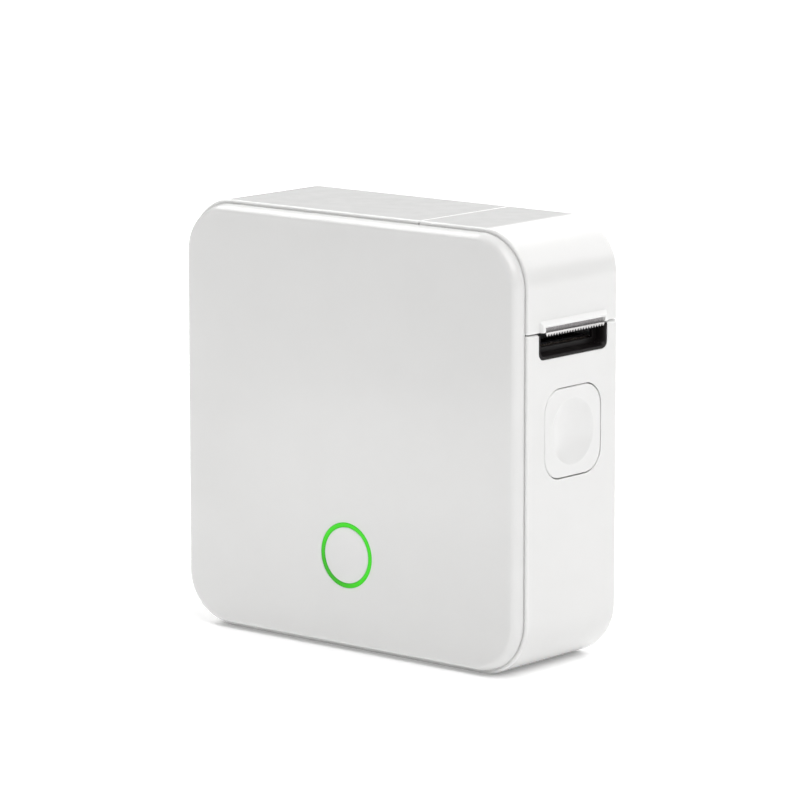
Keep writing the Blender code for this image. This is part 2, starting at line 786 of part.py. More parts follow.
def make_power_switch():
    half = 2.3 * MM
    body = box((-half, -9.4 * MM, POWER_Z - half), (half, BOARD_FRONT - GAP, POWER_Z + half))
    part = add_part("power_switch", body, "chip_black")
    fuse(part, rod((0, POWER_Z), 0.9 * MM, (-10.0 * MM, -9.0 * MM), sides=12))
    return part


def make_main_board():
    outline = [
        (-29 * MM, 3.8 * MM),
        (20 * MM, 3.8 * MM),
        (20 * MM, 34 * MM),
        (-38 * MM, 34 * MM),
        (-38 * MM, 11.5 * MM),
        (-29 * MM, 11.5 * MM),
    ]
    holes = [circle((x * MM, z * MM), 1.0 * MM, 16) for x, z in BOARD_POSTS]
    return add_part("main_board", plate([outline, *holes], BOARD_FRONT, BOARD_BACK), "board_green")


def make_board_pieces():
    """The chips and sockets on the board's back."""
    back = BOARD_BACK + GAP
    sizes = {
        "main_chip": (-12, 14, 7.0, 7.0, 0.9),
        "radio_module": (8, 19, 9.0, 7.0, 1.6),
        "head_socket": (12, 26.5, 7.0, 3.0, 2.2),
        "motor_socket": (17.4, 15, 3.6, 6.0, 2.6),
        "battery_socket": (-19, 27, 6.0, 3.6, 2.8),
    }
    for name, (x, z, width, height, depth) in sizes.items():
        low = ((x - width / 2) * MM, back, (z - height / 2) * MM)
        high = ((x + width / 2) * MM, back + depth * MM, (z + height / 2) * MM)
        add_part(name, box(low, high), "chip_black")


def make_usb_port():
    """The charging socket: a rounded steel shell with a tongue inside."""
    front, back = BOARD_BACK + GAP, BOARD_BACK + GAP + 3.2 * MM
    low, high = USB_Z - 4.5 * MM, USB_Z + 4.5 * MM
    outer = rounded_box((front, low), (back, high), 1.55 * MM)
    part = add_part("usb_port", side_slab(outer, -SIDE + 0.6 * MM, -32 * MM), "steel")
    wall = 0.3 * MM
    inner = rounded_box((front + wall, low + wall), (back - wall, high - wall), 1.25 * MM)
    cut(part, side_slab(inner, -SIDE - 1 * MM, -33.5 * MM))
    middle = (front + back) / 2
    tongue = box(
        (-38.8 * MM, middle - 0.35 * MM, USB_Z - 3.3 * MM),
        (-33.2 * MM, middle + 0.35 * MM, USB_Z + 3.3 * MM),
    )
    fuse(part, tongue)
    return part


def make_battery():
    outline = rounded_box((-36 * MM, 28 * MM), (-6 * MM, 69 * MM), 1.5 * MM, 3)
    cell = slab(outline, 2 * MM, 12 * MM, rounds=[("front", 0.8 * MM, 2), ("back", 0.8 * MM, 2)])
    return add_part("battery", cell, "battery_wrap")


def make_roll_bay():
    """The inner frame: a round-bottomed bay, its hinge ears and the print head's shelf."""
    roll = (ROLL_X, ROLL_Z)
    outer = BAY_RADIUS + BAY_WALL
    front = BAND_MIDDLE - BAY_HALF - BAY_WALL
    back = BAND_MIDDLE + BAY_HALF + BAY_WALL
    inner_front, inner_back = front + BAY_WALL, back - BAY_WALL
    top = HEIGHT - LID_WALL - GAP
    outline = [(ROLL_X - outer, top)]
    outline += arc(roll, outer, 180, 345, 16)
    outline += [(29.4 * MM, 56.7 * MM), (29.4 * MM, top)]
    part = add_part("roll_bay", slab(outline, front, back), "frame_grey")
    bracket = [
        (24 * MM, SHELF_Z),
        (35 * MM, SHELF_Z),
        (35 * MM, 57.5 * MM),
        (28 * MM, 57.5 * MM),
    ]
    fuse(part, slab(bracket, front, back))
    space = [(ROLL_X - BAY_RADIUS, HEIGHT + 1 * MM)]
    space += arc(roll, BAY_RADIUS, 180, 335, 14)
    space += [(31 * MM, 55.1 * MM), (31 * MM, HEIGHT + 1 * MM)]
    cut(part, slab(space, inner_front, inner_back))
    hollow = [
        (30.2 * MM, SHELF_Z + 1.1 * MM),
        (36 * MM, SHELF_Z + 1.1 * MM),
        (36 * MM, HEIGHT),
        (30.2 * MM, HEIGHT),
    ]
    cut(part, slab(hollow, inner_front, inner_back))
    underside = [
        (ROLL_X + 6 * MM, SHELF_Z - 1 * MM),
        (30.2 * MM, SHELF_Z - 1 * MM),
        (30.2 * MM, 53.6 * MM),
        (29.0 * MM, 53.6 * MM),
    ]
    cut(part, slab(underside, inner_front, inner_back))
    cut(part, rod((PIN_X, PIN_Z), END_RADIUS + 0.36 * MM, (front - 1 * MM, back + 1 * MM)))
    ear = [(PIN_X - 0.2 * MM, 73.5 * MM), (PIN_X + EAR_RADIUS, 73.5 * MM)]
    ear += arc((PIN_X, PIN_Z), EAR_RADIUS, 0, 189, 10)
    ear += [(PIN_X - 0.2 * MM, PIN_Z - EAR_RADIUS)]
    for y_front, y_back in ((front, inner_front), (inner_back, back)):
        fuse(part, slab(ear, y_front, y_back))
    cut(part, rod((PIN_X, PIN_Z), PIN_HOLE, (front - 1 * MM, back + 1 * MM)))
    for x, z in BAY_EARS:
        tab = rounded_box(
            ((x - 2) * MM, (z - 2) * MM), ((x + 5) * MM, (z + 2) * MM), 1.5 * MM, 3
        )
        fuse(part, slab(tab, inner_back, back))
        cut(part, rod((x * MM, z * MM), 1.0 * MM, (inner_back - 1 * MM, back + 1 * MM), sides=12))
    return part


def make_label_roll():
    roll = (ROLL_X, ROLL_Z)
    half = ROLL_WIDTH / 2
    ends = (BAND_MIDDLE - half, BAND_MIDDLE + half)
    wound = washer(roll, ROLL_RADIUS, CORE_RADIUS + 0.05 * MM, *ends, 32)
    add_part("label_roll", wound, "label_paper")
    core = washer(roll, CORE_RADIUS, CORE_RADIUS - 0.9 * MM, *ends, 32)
    add_part("roll_core", core, "core_card")


def make_platen():
    place = (PLATEN_X, PLATEN_Z)
    ends = (BAND_MIDDLE - PLATEN_HALF, BAND_MIDDLE + PLATEN_HALF)
    fit = 0.04 * MM
    rubber = washer(place, PLATEN_RADIUS, SHAFT_RADIUS + fit, *ends)
    add_part("platen_roller", rubber, "platen_rubber")
    shaft = rod(place, SHAFT_RADIUS, (-11.2 * MM, 11.0 * MM), sides=24)
    add_part("platen_shaft", shaft, "steel")
    for name, sign in (("platen_bush_front", -1), ("platen_bush_rear", 1)):
        near = BAND_MIDDLE + sign * CHEEK_INNER
        far = near + sign * CHEEK_THICK
        bush = washer(place, 1.9 * MM, SHAFT_RADIUS + 0.06 * MM, min(near, far), max(near, far))
        add_part(name, bush, "gear_plastic")


def gear_mesh(center, gear, phase, layer, bore):
    loops = [gear_outline(center, TEETH[gear], phase), circle(center, bore, 16)]
    return plate(loops, *layer)


def make_gears():
    """The train from the motor to the platen, each gear turned into mesh with the last."""
    motor, platen = (MOTOR_X, MOTOR_Z), (PLATEN_X, PLATEN_Z)
    pinion_phase = 0.0
    wheel_phase = meshed_phase(
        motor, TEETH["pinion"], pinion_phase, REDUCTION, TEETH["wheel"]
    )
    small_phase = wheel_phase
    idler_phase = meshed_phase(REDUCTION, TEETH["small"], small_phase, IDLER, TEETH["idler"])
    platen_phase = meshed_phase(IDLER, TEETH["idler"], idler_phase, platen, TEETH["platen"])
    bore = AXLE_RADIUS + 0.06 * MM
    pinion = gear_mesh(motor, "pinion", pinion_phase, OUTER_LAYER, AXLE_RADIUS + 0.04 * MM)
    add_part("motor_pinion", pinion, "steel")
    wheel = gear_mesh(REDUCTION, "wheel", wheel_phase, OUTER_LAYER, bore)
    reduction = add_part("reduction_gear", wheel, "gear_plastic")
    joined = (INNER_LAYER[0] - 0.4 * MM, INNER_LAYER[1])
    fuse(reduction, gear_mesh(REDUCTION, "small", small_phase, joined, bore))
    idler = gear_mesh(IDLER, "idler", idler_phase, INNER_LAYER, bore)
    add_part("idler_gear", idler, "gear_plastic")
    gear = gear_mesh(platen, "platen", platen_phase, INNER_LAYER, SHAFT_RADIUS + 0.04 * MM)
    add_part("platen_gear", gear, "gear_plastic")


def make_gear_plate():
    outline = [
        (14.5 * MM, 41 * MM),
        (20.5 * MM, 34.8 * MM),
        (33.2 * MM, 34.8 * MM),
        (33.2 * MM, 46 * MM),
        (29.2 * MM, 51 * MM),
        (29.2 * MM, 59.5 * MM),
        (17.5 * MM, 59.5 * MM),
        (14.5 * MM, 51 * MM),
    ]
    hole = AXLE_RADIUS + 0.05 * MM
    holes = [circle(IDLER, hole), circle(REDUCTION, hole)]
    holes.append(circle((MOTOR_X, MOTOR_Z), 1.5 * MM))
    for x in (-4 * MM, 4 * MM):
        holes.append(circle((MOTOR_X + x, MOTOR_Z), 0.7 * MM, 16))
    add_part("gear_plate", plate([outline, *holes], PLATE_FRONT, PLATE_BACK), "steel")
    ends = (-12.1 * MM, -8.15 * MM)
    add_part("idler_axle", rod(IDLER, AXLE_RADIUS, ends), "steel")
    add_part("reduction_axle", rod(REDUCTION, AXLE_RADIUS, ends), "steel")


def make_motor():
    place = (MOTOR_X, MOTOR_Z)
    can = [(6.0 * MM, -8.0 * MM), (6.0 * MM, 3.6 * MM), (5.6 * MM, 4.0 * MM)]
    profile = [
        (0, -12.0 * MM),
        (AXLE_RADIUS, -12.0 * MM),
        (AXLE_RADIUS, -8.0 * MM),
        *can,
        (0, 4.0 * MM),
    ]
    part = add_part("motor", turned(profile, place, 24), "steel")
    for number, x in enumerate((-4 * MM, 4 * MM), 1):
        spot = (MOTOR_X + x, MOTOR_Z)
        cut(part, rod(spot, 0.65 * MM, (-8.5 * MM, -6.3 * MM), sides=12))
        screw = screw_mesh(0, 0, 9.9 * MM, 9.3 * MM, 1.0 * MM, 6.5 * MM, 0.5 * MM)
        screw.transform(Matrix.Rotation(math.pi, 4, "Z"))
        add_part(f"motor_screw_{number}", moved(screw, spot[0], 0, spot[1]), "steel")
    return part


def make_print_head():
    """The ceramic heater bar and its finned aluminium bracket, on two springs."""
    half = 9.0 * MM
    low, high = HEAD_TOP - HEAD_THICK, HEAD_TOP
    bar = box(
        (HEAD_LEFT, BAND_MIDDLE - half, low), (HEAD_RIGHT, BAND_MIDDLE + half, high)
    )
    add_part("print_head", bar, "head_ceramic")
    top = low - GAP
    left, right = HEAD_LEFT + 0.4 * MM, HEAD_RIGHT
    fin, gap, fin_low = 0.9 * MM, 0.9 * MM, 54.2 * MM
    under = top - 1.1 * MM
    outline = [(right, top), (left, top)]
    x = left
    while x + fin < right:
        outline += [(x, fin_low), (x + fin, fin_low), (x + fin, under), (x + fin + gap, under)]
        x += fin + gap
    outline = outline[:-1] + [(right, under)]
    half = BAY_HALF - 0.6 * MM
    fins = slab(outline, BAND_MIDDLE - half, BAND_MIDDLE + half)
    add_part("head_bracket", fins, "aluminium")
    for number, y in enumerate((BAND_MIDDLE - 4.5 * MM, BAND_MIDDLE + 4.5 * MM), 1):
        winding = coil((0, 0), 1.4 * MM, (0, 4.2 * MM), 5)
        spring = turned_to(tube(winding, 0.22 * MM), "Z")
        spring = moved(spring, 32.7 * MM, y, SHELF_Z + 1.1 * MM + 0.5 * MM)
        add_part(f"head_spring_{number}", spring, "spring_steel")


def make_paper_sensor():
    """The label gap sensor, in the floor just before the print head."""
    body = box((27.6 * MM, -1.5 * MM, 57.8 * MM), (29.7 * MM, 3.5 * MM, 59.0 * MM))
    return add_part("paper_sensor", body, "chip_black")


def make_cables():
    routes = {
        "head_cable": [
            (29.6, 5.5, 52.6),
            (28.2, 6.0, 47.0),
            (24.0, 6.6, 41.5),
            (20.0, 3.5, 36.0),
            (15.0, -1.0, 31.0),
            (12.0, -3.6, 27.0),
        ],
        "motor_cable": [
            (27.0, 4.9, 41.0),
            (25.5, 6.2, 36.0),
            (23.5, 3.5, 27.0),
            (20.0, -1.0, 19.0),
            (17.4, -3.2, 15.5),
        ],
        "battery_cable": [
            (-8.0, 1.4, 50.0),
            (-9.0, 0.6, 42.0),
            (-13.0, -0.8, 34.0),
            (-19.0, -3.0, 28.0),
        ],
    }
    for name, route in routes.items():
        add_part(name, tube(smooth_route(route), 0.55 * MM, resolution=1), "cable_black")


def make_screws():
    for number, (x, z) in enumerate(CASE_POSTS, 1):
        screw = screw_mesh(
            x * MM, z * MM, 5.6 * MM, 4.3 * MM, 1.9 * MM, -8.5 * MM, 0.9 * MM
        )
        add_part(f"case_screw_{number}", screw, "steel")
    for number, (x, z) in enumerate(BOARD_POSTS, 1):
        head_front = BOARD_BACK + GAP
        screw = screw_mesh(
            x * MM, z * MM, head_front + 1 * MM, head_front, 1.6 * MM, -11.0 * MM, 0.75 * MM
        )
        add_part(f"board_screw_{number}", screw, "steel")
    for number, (x, z) in enumerate(BAY_EARS, 1):
        screw = screw_mesh(0, 0, -8.1 * MM, -9.1 * MM, 1.5 * MM, -12.9 * MM, 0.75 * MM)
        screw.transform(Matrix.Rotation(math.pi, 4, "Z"))
        add_part(f"bay_screw_{number}", moved(screw, x * MM, 0, z * MM), "steel")


def set_axis(name, place, parts):
    """Parents moving parts to an empty on their joint's axis, at an XZ point."""
    empty = bpy.data.objects.new(f"axis_{name}", None)
    empty.location = (place[0], BAND_MIDDLE, place[1])
    PARTS.objects.link(empty)
    for part_name in parts:
        part = bpy.data.objects[part_name]
        part.parent = empty
        part.matrix_parent_inverse = Matrix.Translation(-empty.location)


def set_axes():
    """Puts each moving group on its own axis."""
    lid_parts = ("lid", "tear_blade", "platen_bush_front", "platen_bush_rear")
    set_axis("lid", (PIN_X, PIN_Z), lid_parts)
    platen_parts = ("platen_roller", "platen_shaft", "platen_gear")
    set_axis("platen", (PLATEN_X, PLATEN_Z), platen_parts)
    set_axis("idler", IDLER, ["idler_gear"])
    set_axis("reduction", REDUCTION, ["reduction_gear"])
    set_axis("pinion", (MOTOR_X, MOTOR_Z), ["motor_pinion"])
    set_axis("roll", (ROLL_X, ROLL_Z), ("label_roll", "roll_core"))
    set_axis("release", (SIDE, BUTTON_Z), ("release_button", "latch_bar"))
    set_axis("power", (0, POWER_Z), ["power_button"])
    set_axis("head", ((HEAD_LEFT + HEAD_RIGHT) / 2, HEAD_TOP), ("print_head", "head_bracket"))


def main():
    make_front_cover()
    make_rear_housing()
    make_lid()
    make_tear_blade()
    make_outlet_bezel()
    make_hinge_pin()
    make_lid_spring()
    make_release_button()
    make_latch_bar()
    make_release_spring()
    make_power_button()
    make_light_ring()
    make_power_switch()
    make_main_board()
    make_board_pieces()
    make_usb_port()
    make_battery()
    make_roll_bay()
    make_label_roll()
    make_platen()
    make_gears()
    make_gear_plate()
    make_motor()
    make_print_head()
    make_paper_sensor()
    make_cables()
    make_screws()
    set_axes()


main()
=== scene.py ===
"""Looks of the pocket thermal label printer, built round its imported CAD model.

Units are metres. X runs to the outlet side, Y to the back and Z up.
"""

import json
import math

import bmesh
import bpy
from mathutils import Matrix, Vector


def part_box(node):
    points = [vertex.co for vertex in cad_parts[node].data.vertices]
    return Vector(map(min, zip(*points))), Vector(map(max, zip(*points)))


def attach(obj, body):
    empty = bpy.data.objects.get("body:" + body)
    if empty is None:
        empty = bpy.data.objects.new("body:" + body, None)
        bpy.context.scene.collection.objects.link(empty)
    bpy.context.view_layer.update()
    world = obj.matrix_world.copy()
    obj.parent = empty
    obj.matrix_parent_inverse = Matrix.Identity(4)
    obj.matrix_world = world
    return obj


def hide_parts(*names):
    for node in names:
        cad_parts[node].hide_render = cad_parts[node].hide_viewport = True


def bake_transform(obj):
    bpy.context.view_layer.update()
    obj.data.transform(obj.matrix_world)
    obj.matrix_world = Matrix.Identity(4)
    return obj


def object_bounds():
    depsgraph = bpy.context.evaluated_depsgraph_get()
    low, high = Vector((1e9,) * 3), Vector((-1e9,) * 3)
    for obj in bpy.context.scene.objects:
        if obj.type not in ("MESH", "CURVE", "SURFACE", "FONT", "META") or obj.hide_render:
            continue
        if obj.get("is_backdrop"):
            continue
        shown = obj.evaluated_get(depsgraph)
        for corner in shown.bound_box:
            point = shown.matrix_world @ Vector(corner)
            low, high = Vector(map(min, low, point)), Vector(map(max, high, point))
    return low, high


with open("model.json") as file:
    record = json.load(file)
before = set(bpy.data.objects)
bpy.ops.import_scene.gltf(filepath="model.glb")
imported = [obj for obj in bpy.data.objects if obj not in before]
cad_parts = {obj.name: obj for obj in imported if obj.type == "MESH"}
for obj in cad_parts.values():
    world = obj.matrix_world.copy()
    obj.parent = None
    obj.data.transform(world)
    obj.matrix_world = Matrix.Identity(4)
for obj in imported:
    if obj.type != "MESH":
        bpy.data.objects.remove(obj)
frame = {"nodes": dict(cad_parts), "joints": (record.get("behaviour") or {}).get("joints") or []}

CAD_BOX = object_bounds()
MM = 0.001
JOINTS = {joint["name"]: joint for joint in frame["joints"]}


def joint_place(name):
    """A joint's axis as an XZ point."""
    place = JOINTS[name]["pos_m"]
    return place[0], place[2]


# Case, read from the frame, and the roundings that the frame doesn't state
COVER_LOW, COVER_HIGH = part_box("front_cover")
REAR_LOW, REAR_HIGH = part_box("rear_housing")
FRONT, BACK = COVER_LOW.y, REAR_HIGH.y
BAND_FRONT = REAR_LOW.y
BAND_MIDDLE = (BAND_FRONT + BACK) / 2
SIDE, HEIGHT = REAR_HIGH.x, REAR_HIGH.z
LEDGE = SIDE - COVER_HIGH.x
CORNER = 10.35 * MM
COVER_ROUND = 1.33 * MM
RIM_STRETCH = 1.7
BAND_ROUND = 0.45 * MM
REAR_ROUND = 0.6 * MM
WALL = 1.6 * MM
LID_WALL = 1.8 * MM
GAP = 0.3 * MM
REAR_INSIDE = BACK - WALL
SKIN = 0.01 * MM
SIDE_CUT = 2.5 * MM
USB_HALVES = (1.9 * MM, 4.8 * MM)
USB_CORNER = 1.85 * MM
# Pilot holes in the posts for case screws and for the smaller ones, and where they start
CASE_PILOT, SMALL_PILOT = 1.1 * MM, 0.9 * MM
PILOT_FRONT = -11.6 * MM
BOARD_SEAT = -8.1 * MM
SHARP_ANGLE = math.radians(38)

# Lid, hinge, hood and blade
PIN = joint_place("lid_hinge")
PIN_DEPTH = HEIGHT - PIN[1]
PIN_RADIUS = 0.6 * MM
END_RADIUS = 3.04 * MM
END_GAP = 0.25 * MM
HUB_INSET = 0.08 * MM
EAR_RADIUS = 1.25 * MM
KNUCKLE_RADIUS = 1.9 * MM
PIN_HOLE = 0.68 * MM
BUSH_HOLE = 1.95 * MM
# The lid's knuckles and its spaces for the frame's ears, from front to back in millimetres
KNUCKLES = ((-11.35, -8.3), (10.7, 12.3))
EAR_SPACES = ((-8.3, -3.2), (9.0, 10.7))
SEAM_X = PIN[0] - math.sqrt((END_RADIUS + END_GAP) ** 2 - PIN_DEPTH**2)
SEAM_Z = 61.7 * MM
SEAM_CHAMFER = 0.32 * MM
LID_LOW = SEAM_Z + GAP
BLADE_LOW, BLADE_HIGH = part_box("tear_blade")
SLOT_HALF = 9.8 * MM
SLOT_LOW = 57.0 * MM
SLOT_CORNER = 1.3 * MM
HOOD_HALF, LIP_HALF = 9.6 * MM, 9.15 * MM
HOOD_TOP, LIP_TOP = 64.0 * MM, 63.2 * MM
HOOD_PROUD = CAD_BOX[1].x - SIDE
BLADE_TEETH = 22
RIB_DEPTH = 0.7 * MM

# Buttons
BUTTON_LOW, BUTTON_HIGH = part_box("release_button")
BUTTON_Z = (BUTTON_LOW.z + BUTTON_HIGH.z) / 2
BUTTON_HALF = 8.0 * MM
BUTTON_CORNER = 4.3 * MM
BUTTON_GAP = 0.2 * MM
DISH_RADIUS = 6.0 * MM
DISH_DEPTH = 1.1 * MM
POWER_Z = (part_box("power_button")[0].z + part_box("power_button")[1].z) / 2
RING_OUTER = 6.05 * MM
RING_INNER = 5.17 * MM
RING_FIT = 0.02 * MM

# Print mechanism
HEAD_LOW, HEAD_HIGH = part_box("print_head")
ROLL = joint_place("roll_spin")
PLATEN = joint_place("platen_spin")
IDLER = joint_place("idler_spin")
REDUCTION = joint_place("reduction_spin")
MOTOR = joint_place("pinion_spin")
MODULE = 0.5 * MM
TEETH = {"pinion": 10, "wheel": 26, "small": 12, "idler": 32, "platen": 16}
BACKLASH = 0.1 * MM
PRESSURE_ANGLE = math.radians(20)
AXLE_RADIUS = 0.75 * MM
SHAFT_RADIUS = 1.0 * MM
WIRE = 0.2 * MM
BAY_INNER, BAY_OUTER, BAY_WALL = 11.6 * MM, 12.8 * MM, 1.2 * MM
ROLL_BORE, CORE_BORE = 4.55 * MM, 3.6 * MM

# Places of the screws as (x, z) in millimetres
CASE_POSTS = ((-33.0, 7.0), (33.0, 7.0), (-33.0, 73.0), (-1.5, 73.0))
BOARD_POSTS = ((-24.0, 8.0), (16.0, 8.0), (-4.0, 30.5))
BAY_EARS = ((1.4, 55.0), (1.4, 68.0))
# Rows of small parts on the board: x and z of the first, count, step and drop, in millimetres
SMALL_PARTS = (
    (-28, 14.5, 5, 2.2, 0),
    (-3, 7.2, 6, 2.0, 0),
    (-34, 28, 4, 2.4, 2.4),
    (4, 25.5, 2, 2.6, 0),
    (-12, 20.5, 5, 2.1, 0),
)
# Routes of the leads as (x, y, z) in millimetres
CABLE_ROUTES = {
    "head_cable": (
        (29.6, 5.5, 52.6), (28.2, 6.0, 47.0), (24.0, 6.6, 41.5),
        (20.0, 3.5, 36.0), (15.0, -1.0, 31.0), (12.0, -3.6, 27.0),
    ),
    "motor_cable": (
        (27.0, 4.9, 41.0), (25.5, 6.2, 36.0), (23.5, 3.5, 27.0),
        (20.0, -1.0, 19.0), (17.4, -3.2, 15.5),
    ),
    "battery_cable": (
        (-8.0, 1.4, 50.0), (-9.0, 0.6, 42.0), (-13.0, -0.8, 34.0), (-19.0, -3.0, 28.0),
    ),
}

# Camera: where it looks, from where, and its lens in millimetres
VIEW_AZIMUTH, VIEW_ELEVATION, VIEW_ROLL = 40.172, 9.977, -0.03
VIEW_TARGET = Vector((-0.0005, 0.0017, 0.0442))
VIEW_DISTANCE = 0.8327
VIEW_LENS = 205.08
VIEW_SENSOR = 36.0

# A wave texture at scale 1 turns through this many radians in a unit
WAVE_RATE = 20

# Soft boxes round the object: azimuth and elevation, distance, width, height and brightness
WORLD_LIGHT = 0.2
FLOOR_GLOW = 0.12
SOFT_BOXES = {
    "key": (75, 52, 1.5, 1.3, 1.2, 3.7),
    "rear_bank": (180, 32, 1.6, 2.2, 0.86, 1.8),
    "left_strip": (-82, 47, 1.4, 1.3, 0.55, 3.9),
    "horizon": (-140, 10, 3.0, 2.4, 0.8, 0.22),
}
# Panels elsewhere: place, the side that they shine away from, width, height and brightness
PANELS = {
    "backdrop": ((-0.85, 1.0, 1.1), (0.0, 0.0, 1.0), 2.2, 2.2, 0.55),
    "front_glow": ((-0.02, -0.11, 0.014), (-0.15, -1.0, 0.0), 0.16, 0.026, 0.9),
}


# ---------------------------------------------------------------- outlines


def arc(center, radius, start, end, steps):
    """Points on an arc, in degrees from the first axis towards the second."""
    angles = [math.radians(start + (end - start) * i / steps) for i in range(steps + 1)]
    return [
        (center[0] + radius * math.cos(a), center[1] + radius * math.sin(a)) for a in angles
    ]


def circle(center, radius, sides=48):
    return arc(center, radius, 0, 360, sides)[:-1]


def rounded_box(low, high, radius, steps=10):
    """The outline of a rectangle with round corners."""
    corners = (
        ((high[0] - radius, high[1] - radius), 0),
        ((low[0] + radius, high[1] - radius), 90),
        ((low[0] + radius, low[1] + radius), 180),
        ((high[0] - radius, low[1] + radius), 270),
    )
    outline = []
    for center, start in corners:
        outline += arc(center, radius, start, start + 90, steps)
    return outline


def case_outline(inset, steps=28):
    """The case's square outline, moved in by an inset."""
    low, high = (-SIDE + inset, inset), (SIDE - inset, HEIGHT - inset)
    return rounded_box(low, high, CORNER - inset, steps)


def side_outline(half, low, high, radius, steps=12):
    """A rounded outline on the right side, centred on the band, as (y, z) points."""
    return rounded_box((BAND_MIDDLE - half, low), (BAND_MIDDLE + half, high), radius, steps)


def end_angle(radius, height):
    """The angle, left of the pin, where a circle round it reaches a height above it."""
    return 180 - math.degrees(math.asin(height / radius))


def lid_outline(low, inset, end_radius, outside):
    """The lid's strip round the top-right corner, reaching outside past the case."""
    corner = (SIDE - CORNER, HEIGHT - CORNER)
    under = max(HEIGHT - inset - PIN[1], 0.0)
    start, end = end_angle(end_radius, under), end_angle(end_radius, PIN_DEPTH)
    outline = arc(PIN, end_radius, start, end, 10)
    outline.append((outline[-1][0], HEIGHT + outside))
    outline += arc(corner, CORNER + outside, 90, 0, 28)
    outline += [(SIDE + outside, low), (SIDE - inset, low)]
    outline += arc(corner, CORNER - inset, 0, 90, 28)
    return outline


# ---------------------------------------------------------------- meshes


def to_mesh(bm, name):
    """Turns a bmesh into a mesh whose faces point out."""
    bmesh.ops.recalc_face_normals(bm, faces=bm.faces)
    mesh = bpy.data.meshes.new(name)
    bm.to_mesh(mesh)
    bm.free()
    return mesh


def loft(rings):
    """A closed skin through rings of points, with flat caps."""
    bm = bmesh.new()
    grid = [[bm.verts.new(point) for point in ring] for ring in rings]
    for low, high in zip(grid, grid[1:]):
        for i, corner in enumerate(low):
            j = (i + 1) % len(low)
            bm.faces.new((corner, low[j], high[j], high[i]))
    bm.faces.new(grid[0])
    bm.faces.new(grid[-1])
    return to_mesh(bm, "loft")


def turned_to(mesh, axis):
    """Turns a mesh made along Y so that it lies along X or Z instead."""
    if axis == "X":
        mesh.transform(Matrix.Rotation(-math.pi / 2, 4, "Z"))
    elif axis == "Z":
        mesh.transform(Matrix.Rotation(math.pi / 2, 4, "X"))
    return mesh


def moved(mesh, x=0.0, y=0.0, z=0.0):
    mesh.transform(Matrix.Translation((x, y, z)))
    return mesh


def prism(outline, y_front, y_back):
    """An XZ outline carried from front to back."""
    return loft([[(x, y, z) for x, z in outline] for y in (y_front, y_back)])


def side_prism(outline, x_left, x_right):
    """A (y, z) outline carried along X."""
    return loft([[(x, y, z) for y, z in outline] for x in (x_left, x_right)])


def round_levels(width, steps):
    """(distance from the end, inset) pairs of a quarter-round edge, from the end inwards."""
    turns = [math.pi / 2 * i / steps for i in range(steps + 1)]
    return [(width * (1 - math.sin(a)), width * (1 - math.cos(a))) for a in reversed(turns)]


def rounded_prism(
    outline_at, y_front, y_back, front_round=0.0, back_round=0.0, steps=8, stretch=1.0
):
    """outline_at(inset), carried from front to back, with quarter-round rims.

    The stretch makes the front rim deeper than it is wide.
    """
    levels = [(y_front, 0.0)]
    if front_round:
        rim = round_levels(front_round, steps)
        levels = [(y_front + far * stretch, inset) for far, inset in rim]
    if back_round:
        back = [(y_back - far, inset) for far, inset in round_levels(back_round, steps)]
        levels += reversed(back)
    else:
        levels.append((y_back, 0.0))
    return loft([[(x, y, z) for x, z in outline_at(inset)] for y, inset in levels])


def box(low, high):
    outline = [(low[0], low[2]), (high[0], low[2]), (high[0], high[2]), (low[0], high[2])]
    return prism(outline, low[1], high[1])


def boxes(corners):
    """One mesh of separate boxes, each given by its low and high corners."""
    bm = bmesh.new()
    for low, high in corners:
        bm.from_mesh(box(low, high))
    return to_mesh(bm, "boxes")


def in_mm(pairs):
    """Pairs of numbers that are given in millimetres."""
    return [(first * MM, second * MM) for first, second in pairs]


def turned(profile, center=(0.0, 0.0), steps=64):
    """A profile of (radius, y) points turned about a line along Y.

    A profile that starts and ends on the line is closed there, and any other is a ring.
    """
    bm = bmesh.new()
    closed = profile[0][0] > 0
    rows = []
    for radius, y in profile:
        if radius == 0:
            rows.append([bm.verts.new((center[0], y, center[1]))])
            continue
        ring = circle(center, radius, steps)
        rows.append([bm.verts.new((x, y, z)) for x, z in ring])
    pairs = list(zip(rows, rows[1:]))
    if closed:
        pairs.append((rows[-1], rows[0]))
    for first, second in pairs:
        for i in range(steps):
            j = (i + 1) % steps
            corners = [first[i % len(first)], first[j % len(first)]]
            corners += [second[j % len(second)], second[i % len(second)]]
            bm.faces.new(list(dict.fromkeys(corners)))
    return to_mesh(bm, "turned")


def rod(center, radius, ends, edge=0.0, steps=48):
    """A rod along Y with rounded rims."""
    low, high = ends
    profile = [(0, low)]
    if edge:
        rim = round_levels(edge, 4)
        profile += [(radius - inset, low + far) for far, inset in rim]
        profile += [(radius - inset, high - far) for far, inset in reversed(rim)]
    else:
        profile += [(radius, low), (radius, high)]
    profile.append((0, high))
    return turned(profile, center, steps)


def washer(center, outer, inner, ends, edge=0.05 * MM, steps=64):
    """A ring along Y with rounded rims."""
    low, high = ends
    rim = round_levels(edge, 3)
    profile = [(outer - inset, low + far) for far, inset in rim]
    profile += [(outer - inset, high - far) for far, inset in reversed(rim)]
    profile += [(inner + inset, high - far) for far, inset in rim]
    profile += [(inner + inset, low + far) for far, inset in reversed(rim)]
    return turned(profile, center, steps)


def carried_frames(points):
    """(point, direction, side) along a path, with the side carried along untwisted."""
    frames = []
    side = None
    for i, point in enumerate(points):
        before, after = points[max(i - 1, 0)], points[min(i + 1, len(points) - 1)]
        line = (after - before).normalized()
        side = line.orthogonal() if side is None else side - line * side.dot(line)
        side.normalize()
        frames.append((point, line, side.copy()))
    return frames


